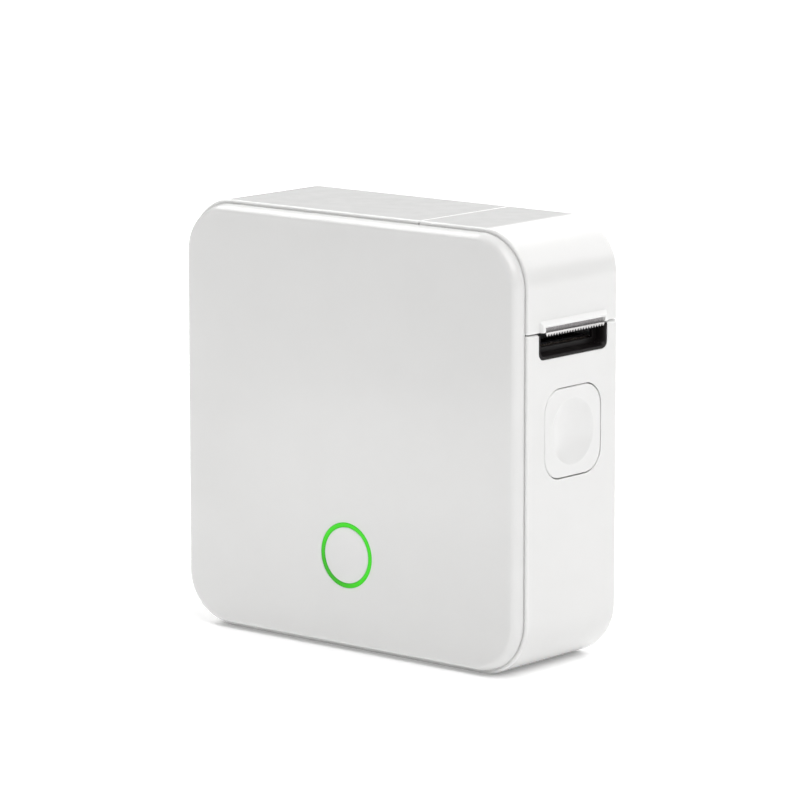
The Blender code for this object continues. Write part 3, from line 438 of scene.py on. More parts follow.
def tube(points, radius, sides=12):
    """A round wire along points, with its frame carried along and its ends rounded."""
    points = [Vector(point) for point in points]
    rings = []
    caps = []
    for point, line, side in carried_frames(points):
        up = line.cross(side)
        turns = [2 * math.pi * k / sides for k in range(sides)]
        ring = [point + radius * (side * math.cos(a) + up * math.sin(a)) for a in turns]
        rings.append(ring)
        caps.append((point, line, ring))
    ends = []
    for (point, line, ring), sign in ((caps[0], -1), (caps[-1], 1)):
        cap = point + line * sign * radius * 0.5
        ends.append([cap + (corner - point) * 0.6 for corner in ring])
    return loft([ends[0], *rings, ends[1]])


def coil(center, radius, ends, turns, steps=28):
    """Points of a helix along Y about an XZ point, with its end turns closed up."""
    points = []
    total = turns * steps
    for i in range(total + 1):
        share = i / total
        y = ends[0] + (ends[1] - ends[0]) * (share - 0.35 * math.sin(2 * math.pi * share) / 6)
        angle = 2 * math.pi * i / steps
        points.append(
            (center[0] + radius * math.cos(angle), y, center[1] + radius * math.sin(angle))
        )
    return points


def smooth_route(anchors, steps=10):
    """Points of a smooth curve through anchors, given in millimetres."""
    ends = [anchors[0], *anchors, anchors[-1]]
    points = []
    for before, start, end, after in zip(ends, ends[1:], ends[2:], ends[3:]):
        p0, p1, p2, p3 = (Vector(p) * MM for p in (before, start, end, after))
        for i in range(steps):
            t = i / steps
            pull = (p2 - p0) * t
            bend = (2 * p0 - 5 * p1 + 4 * p2 - p3) * t**2
            turn = (3 * p1 - p0 - 3 * p2 + p3) * t**3
            points.append(0.5 * (2 * p1 + pull + bend + turn))
    points.append(Vector(anchors[-1]) * MM)
    return points


def evaluated(mesh, add_modifiers):
    """A mesh after the modifiers that add_modifiers puts on an object that holds it."""
    holder = bpy.data.objects.new("holder", mesh)
    bpy.context.scene.collection.objects.link(holder)
    helpers = add_modifiers(holder) or []
    graph = bpy.context.evaluated_depsgraph_get()
    result = bpy.data.meshes.new_from_object(
        holder.evaluated_get(graph), preserve_all_data_layers=True, depsgraph=graph
    )
    for item in [holder, *helpers]:
        bpy.data.objects.remove(item, do_unlink=True)
    return result


def combined(mesh, operation, others):
    """A mesh after an exact Boolean with each of the others."""

    def add_booleans(holder):
        helpers = []
        for other in others:
            helper = bpy.data.objects.new("helper", other)
            bpy.context.scene.collection.objects.link(helper)
            change = holder.modifiers.new("change", "BOOLEAN")
            change.solver = "EXACT"
            change.operation = operation
            change.object = helper
            helpers.append(helper)
        return helpers

    return evaluated(mesh, add_booleans)


def cut(mesh, *others):
    return combined(mesh, "DIFFERENCE", others)


def fused(mesh, *others):
    return combined(mesh, "UNION", others)


def cleaned(mesh):
    """Joins doubled points and flat neighbouring faces."""
    bm = bmesh.new()
    bm.from_mesh(mesh)
    bmesh.ops.remove_doubles(bm, verts=bm.verts, dist=0.001 * MM)
    bmesh.ops.dissolve_limit(
        bm, angle_limit=math.radians(0.2), verts=bm.verts, edges=bm.edges, delimit={"NORMAL"}
    )
    return to_mesh(bm, mesh.name)


def softened(mesh, width, steps=2, sharp=32):
    """Rounds the sharp edges of a mesh by a small width."""

    def add_bevel(holder):
        bevel = holder.modifiers.new("soften", "BEVEL")
        bevel.limit_method = "ANGLE"
        bevel.angle_limit = math.radians(sharp)
        bevel.width = width
        bevel.segments = steps
        bevel.use_clamp_overlap = True
        holder.data.shade_smooth()
        normals = holder.modifiers.new("normals", "WEIGHTED_NORMAL")
        normals.keep_sharp = False

    return evaluated(cleaned(mesh), add_bevel)


def from_node(node, width):
    """The CAD node's own shape with its sharp edges rounded."""
    return softened(frame["nodes"][node].data.copy(), width)


def add_piece(name, mesh, body, material, nodes):
    """Puts a finished mesh in the scene, riding on a body in place of its CAD nodes."""
    mesh.name = name
    piece = bpy.data.objects.new(name, mesh)
    bpy.context.scene.collection.objects.link(piece)
    mesh.materials.clear()
    mesh.materials.append(material)
    mesh.shade_smooth()
    mesh.set_sharp_from_angle(angle=SHARP_ANGLE)
    if nodes:
        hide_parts(*nodes)
    if body:
        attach(piece, body)
    return piece


# ---------------------------------------------------------------- materials


def new_material(name, color, roughness, metallic=0.0):
    """A Principled material and its shader, with the values that are the same all over."""
    made = bpy.data.materials.new(name)
    made.use_nodes = True
    made.diffuse_color = (*color, 1.0)
    shader = made.node_tree.nodes["Principled BSDF"]
    shader.inputs["Base Color"].default_value = (*color, 1.0)
    shader.inputs["Roughness"].default_value = roughness
    shader.inputs["Metallic"].default_value = metallic
    return made, shader


def feed(made, node, inputs):
    """Sets a node's inputs to values, or links them where the value is a socket."""
    for name, value in inputs.items():
        if isinstance(value, bpy.types.NodeSocket):
            made.node_tree.links.new(value, node.inputs[name])
        else:
            node.inputs[name].default_value = value


def add_node(made, kind, inputs, **settings):
    node = made.node_tree.nodes.new(kind)
    for key, value in settings.items():
        setattr(node, key, value)
    feed(made, node, inputs)
    return node


def arithmetic(made, operation, *values):
    """The result of a sum, a product or the like of values and sockets."""
    inputs = dict(enumerate(values))
    return add_node(made, "ShaderNodeMath", inputs, operation=operation).outputs["Value"]


def place_socket(made, center=(0.0, 0.0, 0.0), stretch=(1.0, 1.0, 1.0)):
    """Object coordinates measured from a centre and stretched."""
    place = add_node(made, "ShaderNodeTexCoord", {}).outputs["Object"]
    shift = [-c * s for c, s in zip(center, stretch)]
    inputs = {"Vector": place, "Location": shift, "Scale": stretch}
    return add_node(made, "ShaderNodeMapping", inputs).outputs["Vector"]


def noise_socket(made, size, detail=2.0, stretch=(1.0, 1.0, 1.0)):
    """A noise whose lumps are about as big as size, before any stretch."""
    place = place_socket(made, stretch=stretch)
    inputs = {"Vector": place, "Scale": 1 / size, "Detail": detail}
    return add_node(made, "ShaderNodeTexNoise", inputs).outputs["Fac"]


def ring_socket(made, center, period, distortion=0.0):
    """Rings about a line along Y, one each period."""
    place = place_socket(made, center=(center[0], 0.0, center[1]))
    scale = 2 * math.pi / (WAVE_RATE * period)
    inputs = {"Vector": place, "Scale": scale, "Distortion": distortion}
    rings = {"wave_type": "RINGS", "rings_direction": "Y"}
    return add_node(made, "ShaderNodeTexWave", inputs, **rings).outputs["Fac"]


def spread(made, source, low, high, start=0.3, end=0.7):
    """Carries a socket's values from start to end over to low to high."""
    ends = {"From Min": start, "From Max": end, "To Min": low, "To Max": high}
    return add_node(made, "ShaderNodeMapRange", {"Value": source, **ends}).outputs["Result"]


def vary_roughness(made, shader, source, low, high):
    feed(made, shader, {"Roughness": spread(made, source, low, high)})


def vary_color(made, shader, source, first, second, start=0.3, end=0.7):
    """Mixes two colours by a socket."""
    ramp = add_node(made, "ShaderNodeValToRGB", {"Fac": source})
    for stop, position, color in zip(ramp.color_ramp.elements, (start, end), (first, second)):
        stop.position = position
        stop.color = (*color, 1.0)
    feed(made, shader, {"Base Color": ramp.outputs["Color"]})


def add_bump(made, shader, source, height):
    """Raises the surface by a socket's values times a height."""
    inputs = {"Height": source, "Strength": 1.0, "Distance": height}
    bump = add_node(made, "ShaderNodeBump", inputs)
    feed(made, shader, {"Normal": bump.outputs["Normal"]})


def shaded(color, share):
    return tuple(part * share for part in color)


def moulded_plastic(
    name, color, roughness, grain=0.3 * MM, relief=0.0, tone=0.985, gloss=0.5, depth=0.0
):
    """Moulded plastic: faint tone changes, uneven gloss and, where relief is set, a fine grain.

    Light goes in as far as the depth, which leaves pale creases soft.
    """
    made, shader = new_material(name, color, roughness)
    shader.inputs["Specular IOR Level"].default_value = gloss
    if depth:
        shader.inputs["Subsurface Weight"].default_value = 1.0
        shader.inputs["Subsurface Radius"].default_value = (1.0, 1.0, 1.0)
        shader.inputs["Subsurface Scale"].default_value = depth
    vary_color(made, shader, noise_socket(made, 9 * MM), shaded(color, tone), color)
    sheen = noise_socket(made, 3 * MM, detail=1.0)
    vary_roughness(made, shader, sheen, roughness * 0.9, roughness * 1.1)
    if relief:
        add_bump(made, shader, noise_socket(made, grain, detail=1.0), relief)
    return made


def brushed_metal(name, color, roughness, stretch, relief=0.002 * MM):
    """Metal with fine lines along one direction, the one that stretch leaves short."""
    made, shader = new_material(name, color, roughness, metallic=1.0)
    lines = noise_socket(made, 0.08 * MM, detail=3.0, stretch=stretch)
    vary_color(made, shader, noise_socket(made, 2.5 * MM), shaded(color, 0.9), color)
    vary_roughness(made, shader, lines, roughness * 0.75, roughness * 1.3)
    add_bump(made, shader, lines, relief)
    return made


def lit_ring():
    """Green light guide, lit from behind: weaker at its rims and away from its lamp."""
    made, shader = new_material("lit_green", (0.012, 0.14, 0.004), 0.28)
    shader.inputs["Specular IOR Level"].default_value = 0.25
    shader.inputs["Emission Color"].default_value = (0.035, 0.56, 0.004, 1.0)
    place = place_socket(made, center=(0.0, 0.0, POWER_Z), stretch=(1.0, 0.0, 1.0))
    kind = "ShaderNodeVectorMath"
    across = add_node(made, kind, {0: place, 1: (0.7, 0.0, 0.7)}, operation="DOT_PRODUCT")
    reach = add_node(made, kind, {0: place}, operation="LENGTH")
    middle = (RING_OUTER + RING_INNER) / 2
    half = (RING_OUTER - RING_INNER) / 2
    offset = arithmetic(made, "SUBTRACT", reach.outputs["Value"], middle)
    off_middle = arithmetic(made, "ABSOLUTE", offset)
    rims = spread(made, off_middle, 1.0, 0.6, start=0.5 * half, end=half)
    lamp = spread(made, across.outputs["Value"], 0.55, 1.0, start=-middle, end=-0.2 * middle)
    feed(made, shader, {"Emission Strength": arithmetic(made, "MULTIPLY", rims, lamp)})
    add_bump(made, shader, noise_socket(made, 0.4 * MM), 0.002 * MM)
    return made


def ground_rubber():
    """Platen rubber: matte black with fine grinding rings."""
    color = (0.018, 0.018, 0.019)
    made, shader = new_material("ground_rubber", color, 0.62)
    lines = noise_socket(made, 0.05 * MM, stretch=(0.2, 1.0, 0.2))
    patches = noise_socket(made, 1.1 * MM)
    vary_color(made, shader, patches, (0.014, 0.014, 0.015), (0.026, 0.026, 0.027))
    vary_roughness(made, shader, lines, 0.55, 0.75)
    add_bump(made, shader, lines, 0.006 * MM)
    return made


def wound_paper():
    """Label stock: white paper whose wound edges show as fine rings on the roll's ends."""
    made, shader = new_material("wound_paper", (0.87, 0.87, 0.85), 0.6)
    rings = ring_socket(made, ROLL, 0.16 * MM, distortion=0.3)
    vary_color(made, shader, rings, (0.8, 0.8, 0.77), (0.9, 0.9, 0.885), start=0.1, end=0.8)
    vary_roughness(made, shader, noise_socket(made, 0.3 * MM), 0.5, 0.72)
    add_bump(made, shader, rings, 0.012 * MM)
    return made


def raw_card():
    """Grey-brown card: flecked, matte and fibrous."""
    made, shader = new_material("raw_card", (0.42, 0.31, 0.2), 0.85)
    fibres = noise_socket(made, 0.25 * MM, detail=6.0, stretch=(1.0, 0.35, 1.0))
    vary_color(made, shader, fibres, (0.34, 0.24, 0.15), (0.5, 0.39, 0.27))
    vary_roughness(made, shader, fibres, 0.78, 0.95)
    add_bump(made, shader, fibres, 0.02 * MM)
    return made


def glazed_ceramic():
    """Print head: dark glazed ceramic with a browner line where the heater dots are."""
    color = (0.1, 0.085, 0.075)
    made, shader = new_material("glazed_ceramic", color, 0.3)
    middle = (HEAD_LOW.x + HEAD_HIGH.x) / 2
    place = place_socket(made, center=(middle, 0.0, 0.0), stretch=(1 / MM, 1.0, 1.0))
    along = add_node(made, "ShaderNodeSeparateXYZ", {"Vector": place}).outputs["X"]
    line = spread(made, arithmetic(made, "ABSOLUTE", along), 1.0, 0.0, start=0.28, end=0.36)
    vary_color(made, shader, line, color, (0.03, 0.018, 0.012))
    vary_roughness(made, shader, noise_socket(made, 0.5 * MM), 0.2, 0.34)
    add_bump(made, shader, line, 0.02 * MM)
    return made


def circuit_board():
    """Green solder mask over copper tracks, as broad right-angled runs."""
    made, shader = new_material("circuit_board", (0.015, 0.13, 0.05), 0.35)
    upright = {"Vector": place_socket(made), "Rotation": (math.pi / 2, 0.0, 0.0)}
    place = add_node(made, "ShaderNodeMapping", upright).outputs["Vector"]
    runs = {"Scale": 1 / (3.4 * MM), "Mortar Size": 0.04, "Brick Width": 1.6, "Row Height": 0.22}
    rows = {"offset": 0.37, "squash": 0.6, "squash_frequency": 3}
    bricks = add_node(made, "ShaderNodeTexBrick", {"Vector": place, **runs}, **rows)
    tracks = bricks.outputs["Fac"]
    vary_color(made, shader, tracks, (0.012, 0.11, 0.04), (0.04, 0.24, 0.09), 0.2, 0.8)
    vary_roughness(made, shader, noise_socket(made, 0.6 * MM), 0.28, 0.42)
    add_bump(made, shader, tracks, 0.015 * MM)
    return made


def shrink_film():
    """Blue shrink film over the cell, slightly rippled."""
    color = (0.07, 0.16, 0.4)
    made, shader = new_material("shrink_film", color, 0.28)
    vary_color(made, shader, noise_socket(made, 9 * MM), shaded(color, 0.85), color)
    vary_roughness(made, shader, noise_socket(made, 1.3 * MM), 0.22, 0.36)
    add_bump(made, shader, noise_socket(made, 2.6 * MM, detail=3.0), 0.03 * MM)
    return made


SHELL = moulded_plastic("shell_plastic", (0.73, 0.728, 0.722), 0.18, depth=0.8 * MM)
BUTTON = moulded_plastic("button_plastic", (0.735, 0.733, 0.728), 0.18, depth=0.8 * MM)
BLACK = moulded_plastic("outlet_plastic", (0.009, 0.0075, 0.0075), 0.35, tone=0.8, gloss=0.16)
GREEN = lit_ring()
STEEL = brushed_metal("ground_steel", (0.6, 0.6, 0.61), 0.3, (1.0, 0.08, 1.0))
BLADE_STEEL = brushed_metal("blade_steel", (0.72, 0.71, 0.7), 0.38, (1.0, 0.15, 1.0))
# The blade's steel painted darker for the ribs: painted shade of the recess under the hood's lip.
PAINTED_SHADE_STEEL = brushed_metal("painted_shade_steel", (0.4, 0.385, 0.39), 0.45, (1.0, 0.15, 1.0))
PLATE_STEEL = brushed_metal("plate_steel", (0.62, 0.63, 0.65), 0.34, (0.08, 1.0, 1.0))
SPRING = brushed_metal("spring_wire", (0.52, 0.52, 0.53), 0.24, (1.0, 1.0, 1.0))
ALUMINIUM = brushed_metal("extruded_aluminium", (0.72, 0.72, 0.74), 0.36, (1.0, 0.06, 1.0))
FRAME = moulded_plastic("frame_plastic", (0.12, 0.124, 0.13), 0.5, 0.2 * MM, 0.008 * MM, 0.9)
GEAR = moulded_plastic("gear_plastic", (0.78, 0.76, 0.7), 0.36, 0.3 * MM, 0.002 * MM, 0.95)
RUBBER = ground_rubber()
CERAMIC = glazed_ceramic()
BOARD = circuit_board()
CHIP = moulded_plastic("chip_resin", (0.018, 0.018, 0.02), 0.48, 0.1 * MM, 0.004 * MM, 0.85)
FILM = shrink_film()
PAPER = wound_paper()
CARD = raw_card()
CABLE = moulded_plastic("cable_jacket", (0.016, 0.016, 0.017), 0.42, 0.5 * MM, 0.004 * MM, 0.85)


# ---------------------------------------------------------------- case


def case_slab(y_front, y_back, inset=0.0, **rounds):
    """The case's outline carried from front to back."""
    return rounded_prism(lambda more: case_outline(inset + more), y_front, y_back, **rounds)


def cover_posts():
    """The posts inside the front cover and the pilot holes in them."""
    posts, holes = [], []
    inside = FRONT + WALL - GAP
    for places, radius, pilot, end in (
        (CASE_POSTS, 2.5 * MM, CASE_PILOT, -GAP),
        (BOARD_POSTS, 2.0 * MM, SMALL_PILOT, BOARD_SEAT),
    ):
        for center in in_mm(places):
            posts.append(rod(center, radius, (inside, end)))
            holes.append(rod(center, pilot, (PILOT_FRONT, end + MM), steps=32))
    return posts, holes


def front_cover():
    rim = {"front_round": COVER_ROUND, "steps": 16, "stretch": RIM_STRETCH}
    cover = case_slab(FRONT, BAND_FRONT - SKIN, LEDGE, **rim)
    pocket = case_slab(FRONT + WALL, BAND_FRONT + WALL, 3.0 * MM, front_round=0.4 * MM)
    ring_hole = rod((0, POWER_Z), RING_OUTER + RING_FIT, (FRONT - MM, BAND_FRONT), steps=128)
    posts, holes = cover_posts()
    mesh = cut(fused(cut(cover, pocket, ring_hole), *posts), *holes)
    mesh = softened(mesh, 0.06 * MM)
    add_piece("front_cover_shell", mesh, "case", SHELL, ["front_cover"])


def usb_outline():
    """The charging socket's opening in the left side."""
    low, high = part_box("usb_port")
    y, z = (low.y + high.y) / 2, (low.z + high.z) / 2
    half_y, half_z = USB_HALVES
    return rounded_box((y - half_y, z - half_z), (y + half_y, z + half_z), USB_CORNER)


def rear_openings():
    """What is cut from the rear housing: lid space, slot, button, socket and seam edges."""
    past = (BAND_FRONT - MM, BACK + MM)
    through = (SIDE - SIDE_CUT, SIDE + MM)
    lid_space = lid_outline(SEAM_Z, LID_WALL + GAP, END_RADIUS + END_GAP, 2 * MM)
    slot = side_outline(SLOT_HALF, SLOT_LOW, SEAM_Z + 4 * MM, SLOT_CORNER)
    half = BUTTON_HALF + BUTTON_GAP
    corner = BUTTON_CORNER + BUTTON_GAP
    button = side_outline(half, BUTTON_Z - half, BUTTON_Z + half, corner, 16)
    seams = ((SEAM_X, HEIGHT), (SIDE, SEAM_Z))
    return [
        prism(lid_space, *past),
        rod(PIN, END_RADIUS + END_GAP, (REAR_INSIDE - MM, past[1]), steps=96),
        side_prism(slot, *through),
        side_prism(button, *through),
        side_prism(usb_outline(), -SIDE - MM, -SIDE + SIDE_CUT),
        *[prism(circle(place, SEAM_CHAMFER, 4), *past) for place in seams],
    ]


def rear_posts():
    """The posts inside the rear housing and the holes in them."""
    root = REAR_INSIDE + 0.5 * MM
    post, well, well_floor = 2.9 * MM, 2.2 * MM, 4 * MM
    small_post, small_seat, small_floor = 2.0 * MM, 10.9 * MM, 13.2 * MM
    posts, holes = [], []
    for center in in_mm(CASE_POSTS):
        posts.append(rod(center, post, (0, root)))
        holes.append(rod(center, well, (well_floor, BACK + MM)))
        holes.append(rod(center, CASE_PILOT, (-MM, well_floor + MM), steps=32))
    for center in in_mm(BAY_EARS):
        posts.append(rod(center, small_post, (small_seat, root)))
        holes.append(rod(center, SMALL_PILOT, (10 * MM, small_floor), steps=32))
    left, right, low, high, front = 29.6 * MM, 30.7 * MM, 40 * MM, 47 * MM, 6.9 * MM
    spring_stop = box((left, front, low), (right, root, high))
    return [*posts, spring_stop], holes


def rear_housing():
    shell = case_slab(BAND_FRONT, BACK, front_round=BAND_ROUND, back_round=REAR_ROUND)
    pocket = case_slab(BAND_FRONT - MM, REAR_INSIDE, WALL, back_round=0.5 * MM)
    mesh = cut(shell, pocket, *rear_openings())
    posts, holes = rear_posts()
    mesh = cut(fused(mesh, *posts), *holes)
    mesh = softened(mesh, 0.12 * MM)
    add_piece("rear_housing_shell", mesh, "case", SHELL, ["rear_housing"])


def hood():
    """The raised frame over the blade: a flat lip with sloped top and sides."""
    corner = 0.25 * MM
    rings = []
    for x, half, top in (
        (SIDE - 0.5 * MM, HOOD_HALF, HOOD_TOP),
        (SIDE, HOOD_HALF, HOOD_TOP),
        (SIDE + HOOD_PROUD, LIP_HALF, LIP_TOP),
    ):
        outline = side_outline(half, LID_LOW - 2 * MM, top, corner, 6)
        rings.append([(x, y, z) for y, z in outline])
    reach, past = 2 * HOOD_HALF, 2 * MM
    below = box(
        (SIDE - past, BAND_MIDDLE - reach, LID_LOW - 4 * MM),
        (SIDE + past, BAND_MIDDLE + reach, LID_LOW),
    )
    return cut(loft(rings), below)


def lid():
    past = (BAND_FRONT - MM, BACK + MM)
    case = case_slab(BAND_FRONT, BACK, front_round=BAND_ROUND, back_round=REAR_ROUND)
    strip = prism(lid_outline(LID_LOW, LID_WALL, END_RADIUS, 2 * MM), *past)
    mesh = combined(case, "INTERSECT", [strip])
    hub_radius = END_RADIUS - HUB_INSET
    top = end_angle(hub_radius, PIN_DEPTH - HUB_INSET)
    hub = prism(arc(PIN, hub_radius, top, 540 - top, 72), REAR_INSIDE - GAP, BACK - HUB_INSET)
    mesh = fused(mesh, hub, *[rod(PIN, KNUCKLE_RADIUS, ends) for ends in in_mm(KNUCKLES)])
    ear_spaces = [rod(PIN, EAR_RADIUS + GAP, ends) for ends in in_mm(EAR_SPACES)]
    mesh = cut(mesh, *ear_spaces, rod(PIN, PIN_HOLE, (-12 * MM, 12.2 * MM), steps=32))
    mesh = fused(mesh, *lid_cheeks(), hood(), lid_catch(), *lid_ribs())
    mesh = cut(mesh, rod(PLATEN, BUSH_HOLE, (-9 * MM, 12 * MM)), blade_recess())
    mesh = softened(mesh, 0.1 * MM)
    add_piece("lid_shell", mesh, "lid", SHELL, ["lid"])


def blade_recess():
    """The seat that the tear blade is pressed into."""
    half = (BLADE_HIGH.y - BLADE_LOW.y) / 2 + 0.15 * MM
    return box(
        (SIDE - RIB_DEPTH, BAND_MIDDLE - half, LID_LOW - MM),
        (SIDE + 2 * MM, BAND_MIDDLE + half, BLADE_HIGH.z + 0.1 * MM),
    )


def lid_cheeks():
    """The two cheeks inside the lid that carry the platen's bushes."""
    inside = LID_WALL - GAP
    left, bush_wall = 29.8 * MM, 2.7 * MM
    under, under_edge = (36.6 * MM, 63.2 * MM), 63.8 * MM
    corner = (SIDE - CORNER, HEIGHT - CORNER)
    outline = [(left, HEIGHT - inside), (left, 66 * MM)]
    outline += arc(PLATEN, bush_wall, 180, 350, 24)
    outline += [under, (SIDE - inside, under_edge)]
    outline += arc(corner, CORNER - inside, 0, 90, 24)[:-1]
    ends = [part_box(bush) for bush in ("platen_bush_front", "platen_bush_rear")]
    return [prism(outline, low.y, high.y) for low, high in ends]


def lid_catch():
    """The catch that the latch hook holds."""
    left, right = 37.4 * MM, SIDE - LID_WALL + GAP
    front, back = 11.2 * MM, 12.2 * MM
    low, high = 62.6 * MM, 64.0 * MM
    return box((left, front, low), (right, back, high))


def lid_ribs():
    """Two low ribs that stiffen the lid's top from the inside."""
    half, left, right = 0.4 * MM, 22.5 * MM, 29.5 * MM
    low, high = HEIGHT - LID_WALL - 0.5 * MM, HEIGHT - LID_WALL + GAP
    middles = (-3.5 * MM, 4.5 * MM)
    return [box((left, y - half, low), (right, y + half, high)) for y in middles]


def tear_blade():
    """A steel strip: a row of small teeth in front of a ribbed back, whose darker copy of the
    blade steel is painted shade under the hood.
    """
    left, right = BLADE_LOW.y, BLADE_HIGH.y
    step = (right - left) / BLADE_TEETH
    fold, edge, notch = 61.9 * MM, 61.65 * MM, 0.04 * MM
    comb = []
    for tooth in range(BLADE_TEETH):
        start = left + tooth * step
        comb.append((start + notch, edge))
        comb.append((start + 0.5 * step, BLADE_LOW.z))
        comb.append((start + step - notch, edge))
    comb += [(right, fold), (left, fold)]
    teeth = side_prism(comb, SIDE + 0.2 * MM, BLADE_HIGH.x + 0.05 * MM)
    teeth = softened(teeth, 0.02 * MM, steps=1)
    add_piece("tear_blade_teeth", teeth, "lid", BLADE_STEEL, ["tear_blade"])
    back, face, rib_height = SIDE - RIB_DEPTH + SKIN, SIDE - 0.4 * MM, 0.3 * MM
    ribs = [(back, left)]
    for rib in range(BLADE_TEETH):
        start = left + rib * step
        ribs.append((face, start + 0.12 * step))
        for i in range(1, 4):
            proud = rib_height * math.sin(math.pi * i / 4)
            ribs.append((face + proud, start + step * (0.3 + 0.1 * i)))
    ribs += [(face, right), (back, right)]
    strip = loft([[(x, y, z) for x, y in ribs] for z in (edge + 0.05 * MM, BLADE_HIGH.z)])
    strip = softened(strip, 0.02 * MM, steps=1)
    # The ribs take the darker steel, a painted shade for the recess under the hood.
    add_piece("tear_blade_ribs", strip, "lid", PAINTED_SHADE_STEEL, [])


def outlet_bezel():
    """The black outlet insert: a lined mouth with a ramp towards the blade."""
    low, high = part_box("outlet_bezel")
    half = (high.y - low.y) / 2
    lining, ease, above = 0.55 * MM, 0.2 * MM, high.z + 4 * MM
    cavity_end, deep_margin, deep_right, deep_floor = 37.9 * MM, 1.5 * MM, 38.5 * MM, 58.9 * MM
    outer = side_outline(half + ease, low.z - ease, high.z + 2 * MM, SLOT_CORNER)
    inner = side_outline(half - lining, low.z + lining, above, SLOT_CORNER - 0.3 * MM)
    mouth = side_outline(half - ease, low.z + ease, above, SLOT_CORNER - 0.1 * MM)
    ramp = ((high.x - 0.6 * MM, inner), (high.x + 0.2 * MM, mouth))
    funnel = loft([[(x, y, z) for y, z in outline] for x, outline in ramp])
    deep = box(
        (low.x - MM, BAND_MIDDLE - half + deep_margin, deep_floor),
        (deep_right, BAND_MIDDLE + half - deep_margin, above),
    )
    top = box((low.x - MM, low.y - MM, high.z), (SIDE + MM, high.y + MM, high.z + 6 * MM))
    cavity = side_prism(inner, cavity_end, high.x + 0.1 * MM)
    mesh = cut(side_prism(outer, low.x, high.x + 0.05 * MM), cavity, funnel, deep, top)
    mesh = softened(mesh, 0.08 * MM)
    add_piece("outlet_liner", mesh, "case", BLACK, ["outlet_bezel"])


# ---------------------------------------------------------------- buttons


def button_outline(inset):
    half = BUTTON_HALF - inset
    return side_outline(half, BUTTON_Z - half, BUTTON_Z + half, BUTTON_CORNER - inset, 20)


def finger_dish():
    """The part of a ball that hollows the button's face."""
    ball = (DISH_RADIUS**2 + DISH_DEPTH**2) / (2 * DISH_DEPTH)
    bend = math.asin(DISH_RADIUS / ball)
    steps = 16
    angles = [bend * i / steps for i in range(steps + 1)]
    profile = [(ball * math.sin(a), ball * (1 - math.cos(a))) for a in angles]
    outside = DISH_DEPTH + 2 * MM
    profile += [(DISH_RADIUS, outside), (0, outside)]
    lens = turned(profile, steps=96)
    lens.transform(Matrix.Rotation(-math.pi / 2, 4, "Z"))
    return moved(lens, SIDE - DISH_DEPTH, BAND_MIDDLE, BUTTON_Z)


def release_button():
    """A flush rounded-square button with a round finger dish and a flange behind."""
    key_back, flange_width = 37.9 * MM, 1.2 * MM
    levels = [(key_back, 0.0)]
    levels += [(SIDE - far, inset) for far, inset in reversed(round_levels(0.28 * MM, 6))]
    body = loft([[(x, y, z) for y, z in button_outline(inset)] for x, inset in levels])
    flange = side_prism(button_outline(-flange_width), BUTTON_LOW.x, SIDE - WALL - GAP)
    mesh = softened(cut(fused(body, flange), finger_dish()), 0.12 * MM, steps=3, sharp=14)
    add_piece("release_key", mesh, "release", BUTTON, ["release_button"])


def latch_bar():
    mesh = from_node("latch_bar", 0.1 * MM)
    add_piece("latch_hook", mesh, "release", FRAME, ["latch_bar"])


def power_button():
    """A flat disc with a softly rounded rim, on a stem that meets the switch."""
    disc = RING_INNER - 1.5 * RING_FIT
    flange, stem = 6.4 * MM, 1.3 * MM
    flange_front, flange_back, stem_end = -11.0 * MM, -10.6 * MM, -10.3 * MM
    profile = [(0, FRONT)]
    profile += [(disc - inset, FRONT + far) for far, inset in round_levels(0.12 * MM, 5)]
    profile += [(disc, flange_front), (flange, flange_front), (flange, flange_back)]
    profile += [(stem, flange_back), (stem, stem_end), (0, stem_end)]
    mesh = turned(profile, (0, POWER_Z), 128)
    add_piece("power_key", mesh, "power", BUTTON, ["power_button"])


def light_ring():
    """The light guide: a thin ring at the face on a wider foot behind the cover."""
    front = FRONT + 0.03 * MM
    rim = round_levels(0.06 * MM, 3)
    foot, foot_front, foot_back = 7.4 * MM, -12.1 * MM, -11.4 * MM
    profile = [(RING_OUTER - inset, front + far) for far, inset in rim]
    profile += [(RING_OUTER, foot_front), (foot, foot_front), (foot, foot_back)]
    profile.append((RING_INNER, foot_back))
    profile += [(RING_INNER + inset, front + far) for far, inset in reversed(rim)]
    mesh = turned(profile, (0, POWER_Z), 128)
    add_piece("light_guide", mesh, "case", GREEN, ["light_ring"])


# ---------------------------------------------------------------- roll and platen


def bay_walls(low, high):
    """The round-bottomed bay with the print head's shelf on its right."""
    front, back, shelf = low.y, high.y, low.z
    between = (front + BAY_WALL, back - BAY_WALL)
    top, above = HEIGHT - LID_WALL - GAP, HEIGHT + MM
    wall_right, wall_foot = 29.4 * MM, 56.7 * MM
    space_right, space_foot = 31 * MM, 55.1 * MM
    shelf_left, shelf_right, shelf_top = 24 * MM, 35 * MM, 57.5 * MM
    left, right, floor, ceiling = 30.2 * MM, 36 * MM, shelf + 1.1 * MM, 53.6 * MM
    outline = [(ROLL[0] - BAY_OUTER, top), *arc(ROLL, BAY_OUTER, 180, 345, 72)]
    outline += [(wall_right, wall_foot), (wall_right, top)]
    bracket = [(shelf_left, shelf), (shelf_right, shelf)]
    bracket += [(shelf_right, shelf_top), (28 * MM, shelf_top)]
    space = [(ROLL[0] - BAY_INNER, above), *arc(ROLL, BAY_INNER, 180, 335, 72)]
    space += [(space_right, space_foot), (space_right, above)]
    hollow = [(left, floor), (right, floor), (right, HEIGHT), (left, HEIGHT)]
    underside = [(ROLL[0] + 6 * MM, shelf - MM), (left, shelf - MM)]
    underside += [(left, ceiling), (29.0 * MM, ceiling)]
    mesh = fused(prism(outline, front, back), prism(bracket, front, back))
    spaces = [prism(each, *between) for each in (space, hollow, underside)]
    hub = rod(PIN, END_RADIUS + 0.36 * MM, (front - MM, back + MM))
    return cut(mesh, *spaces, hub)


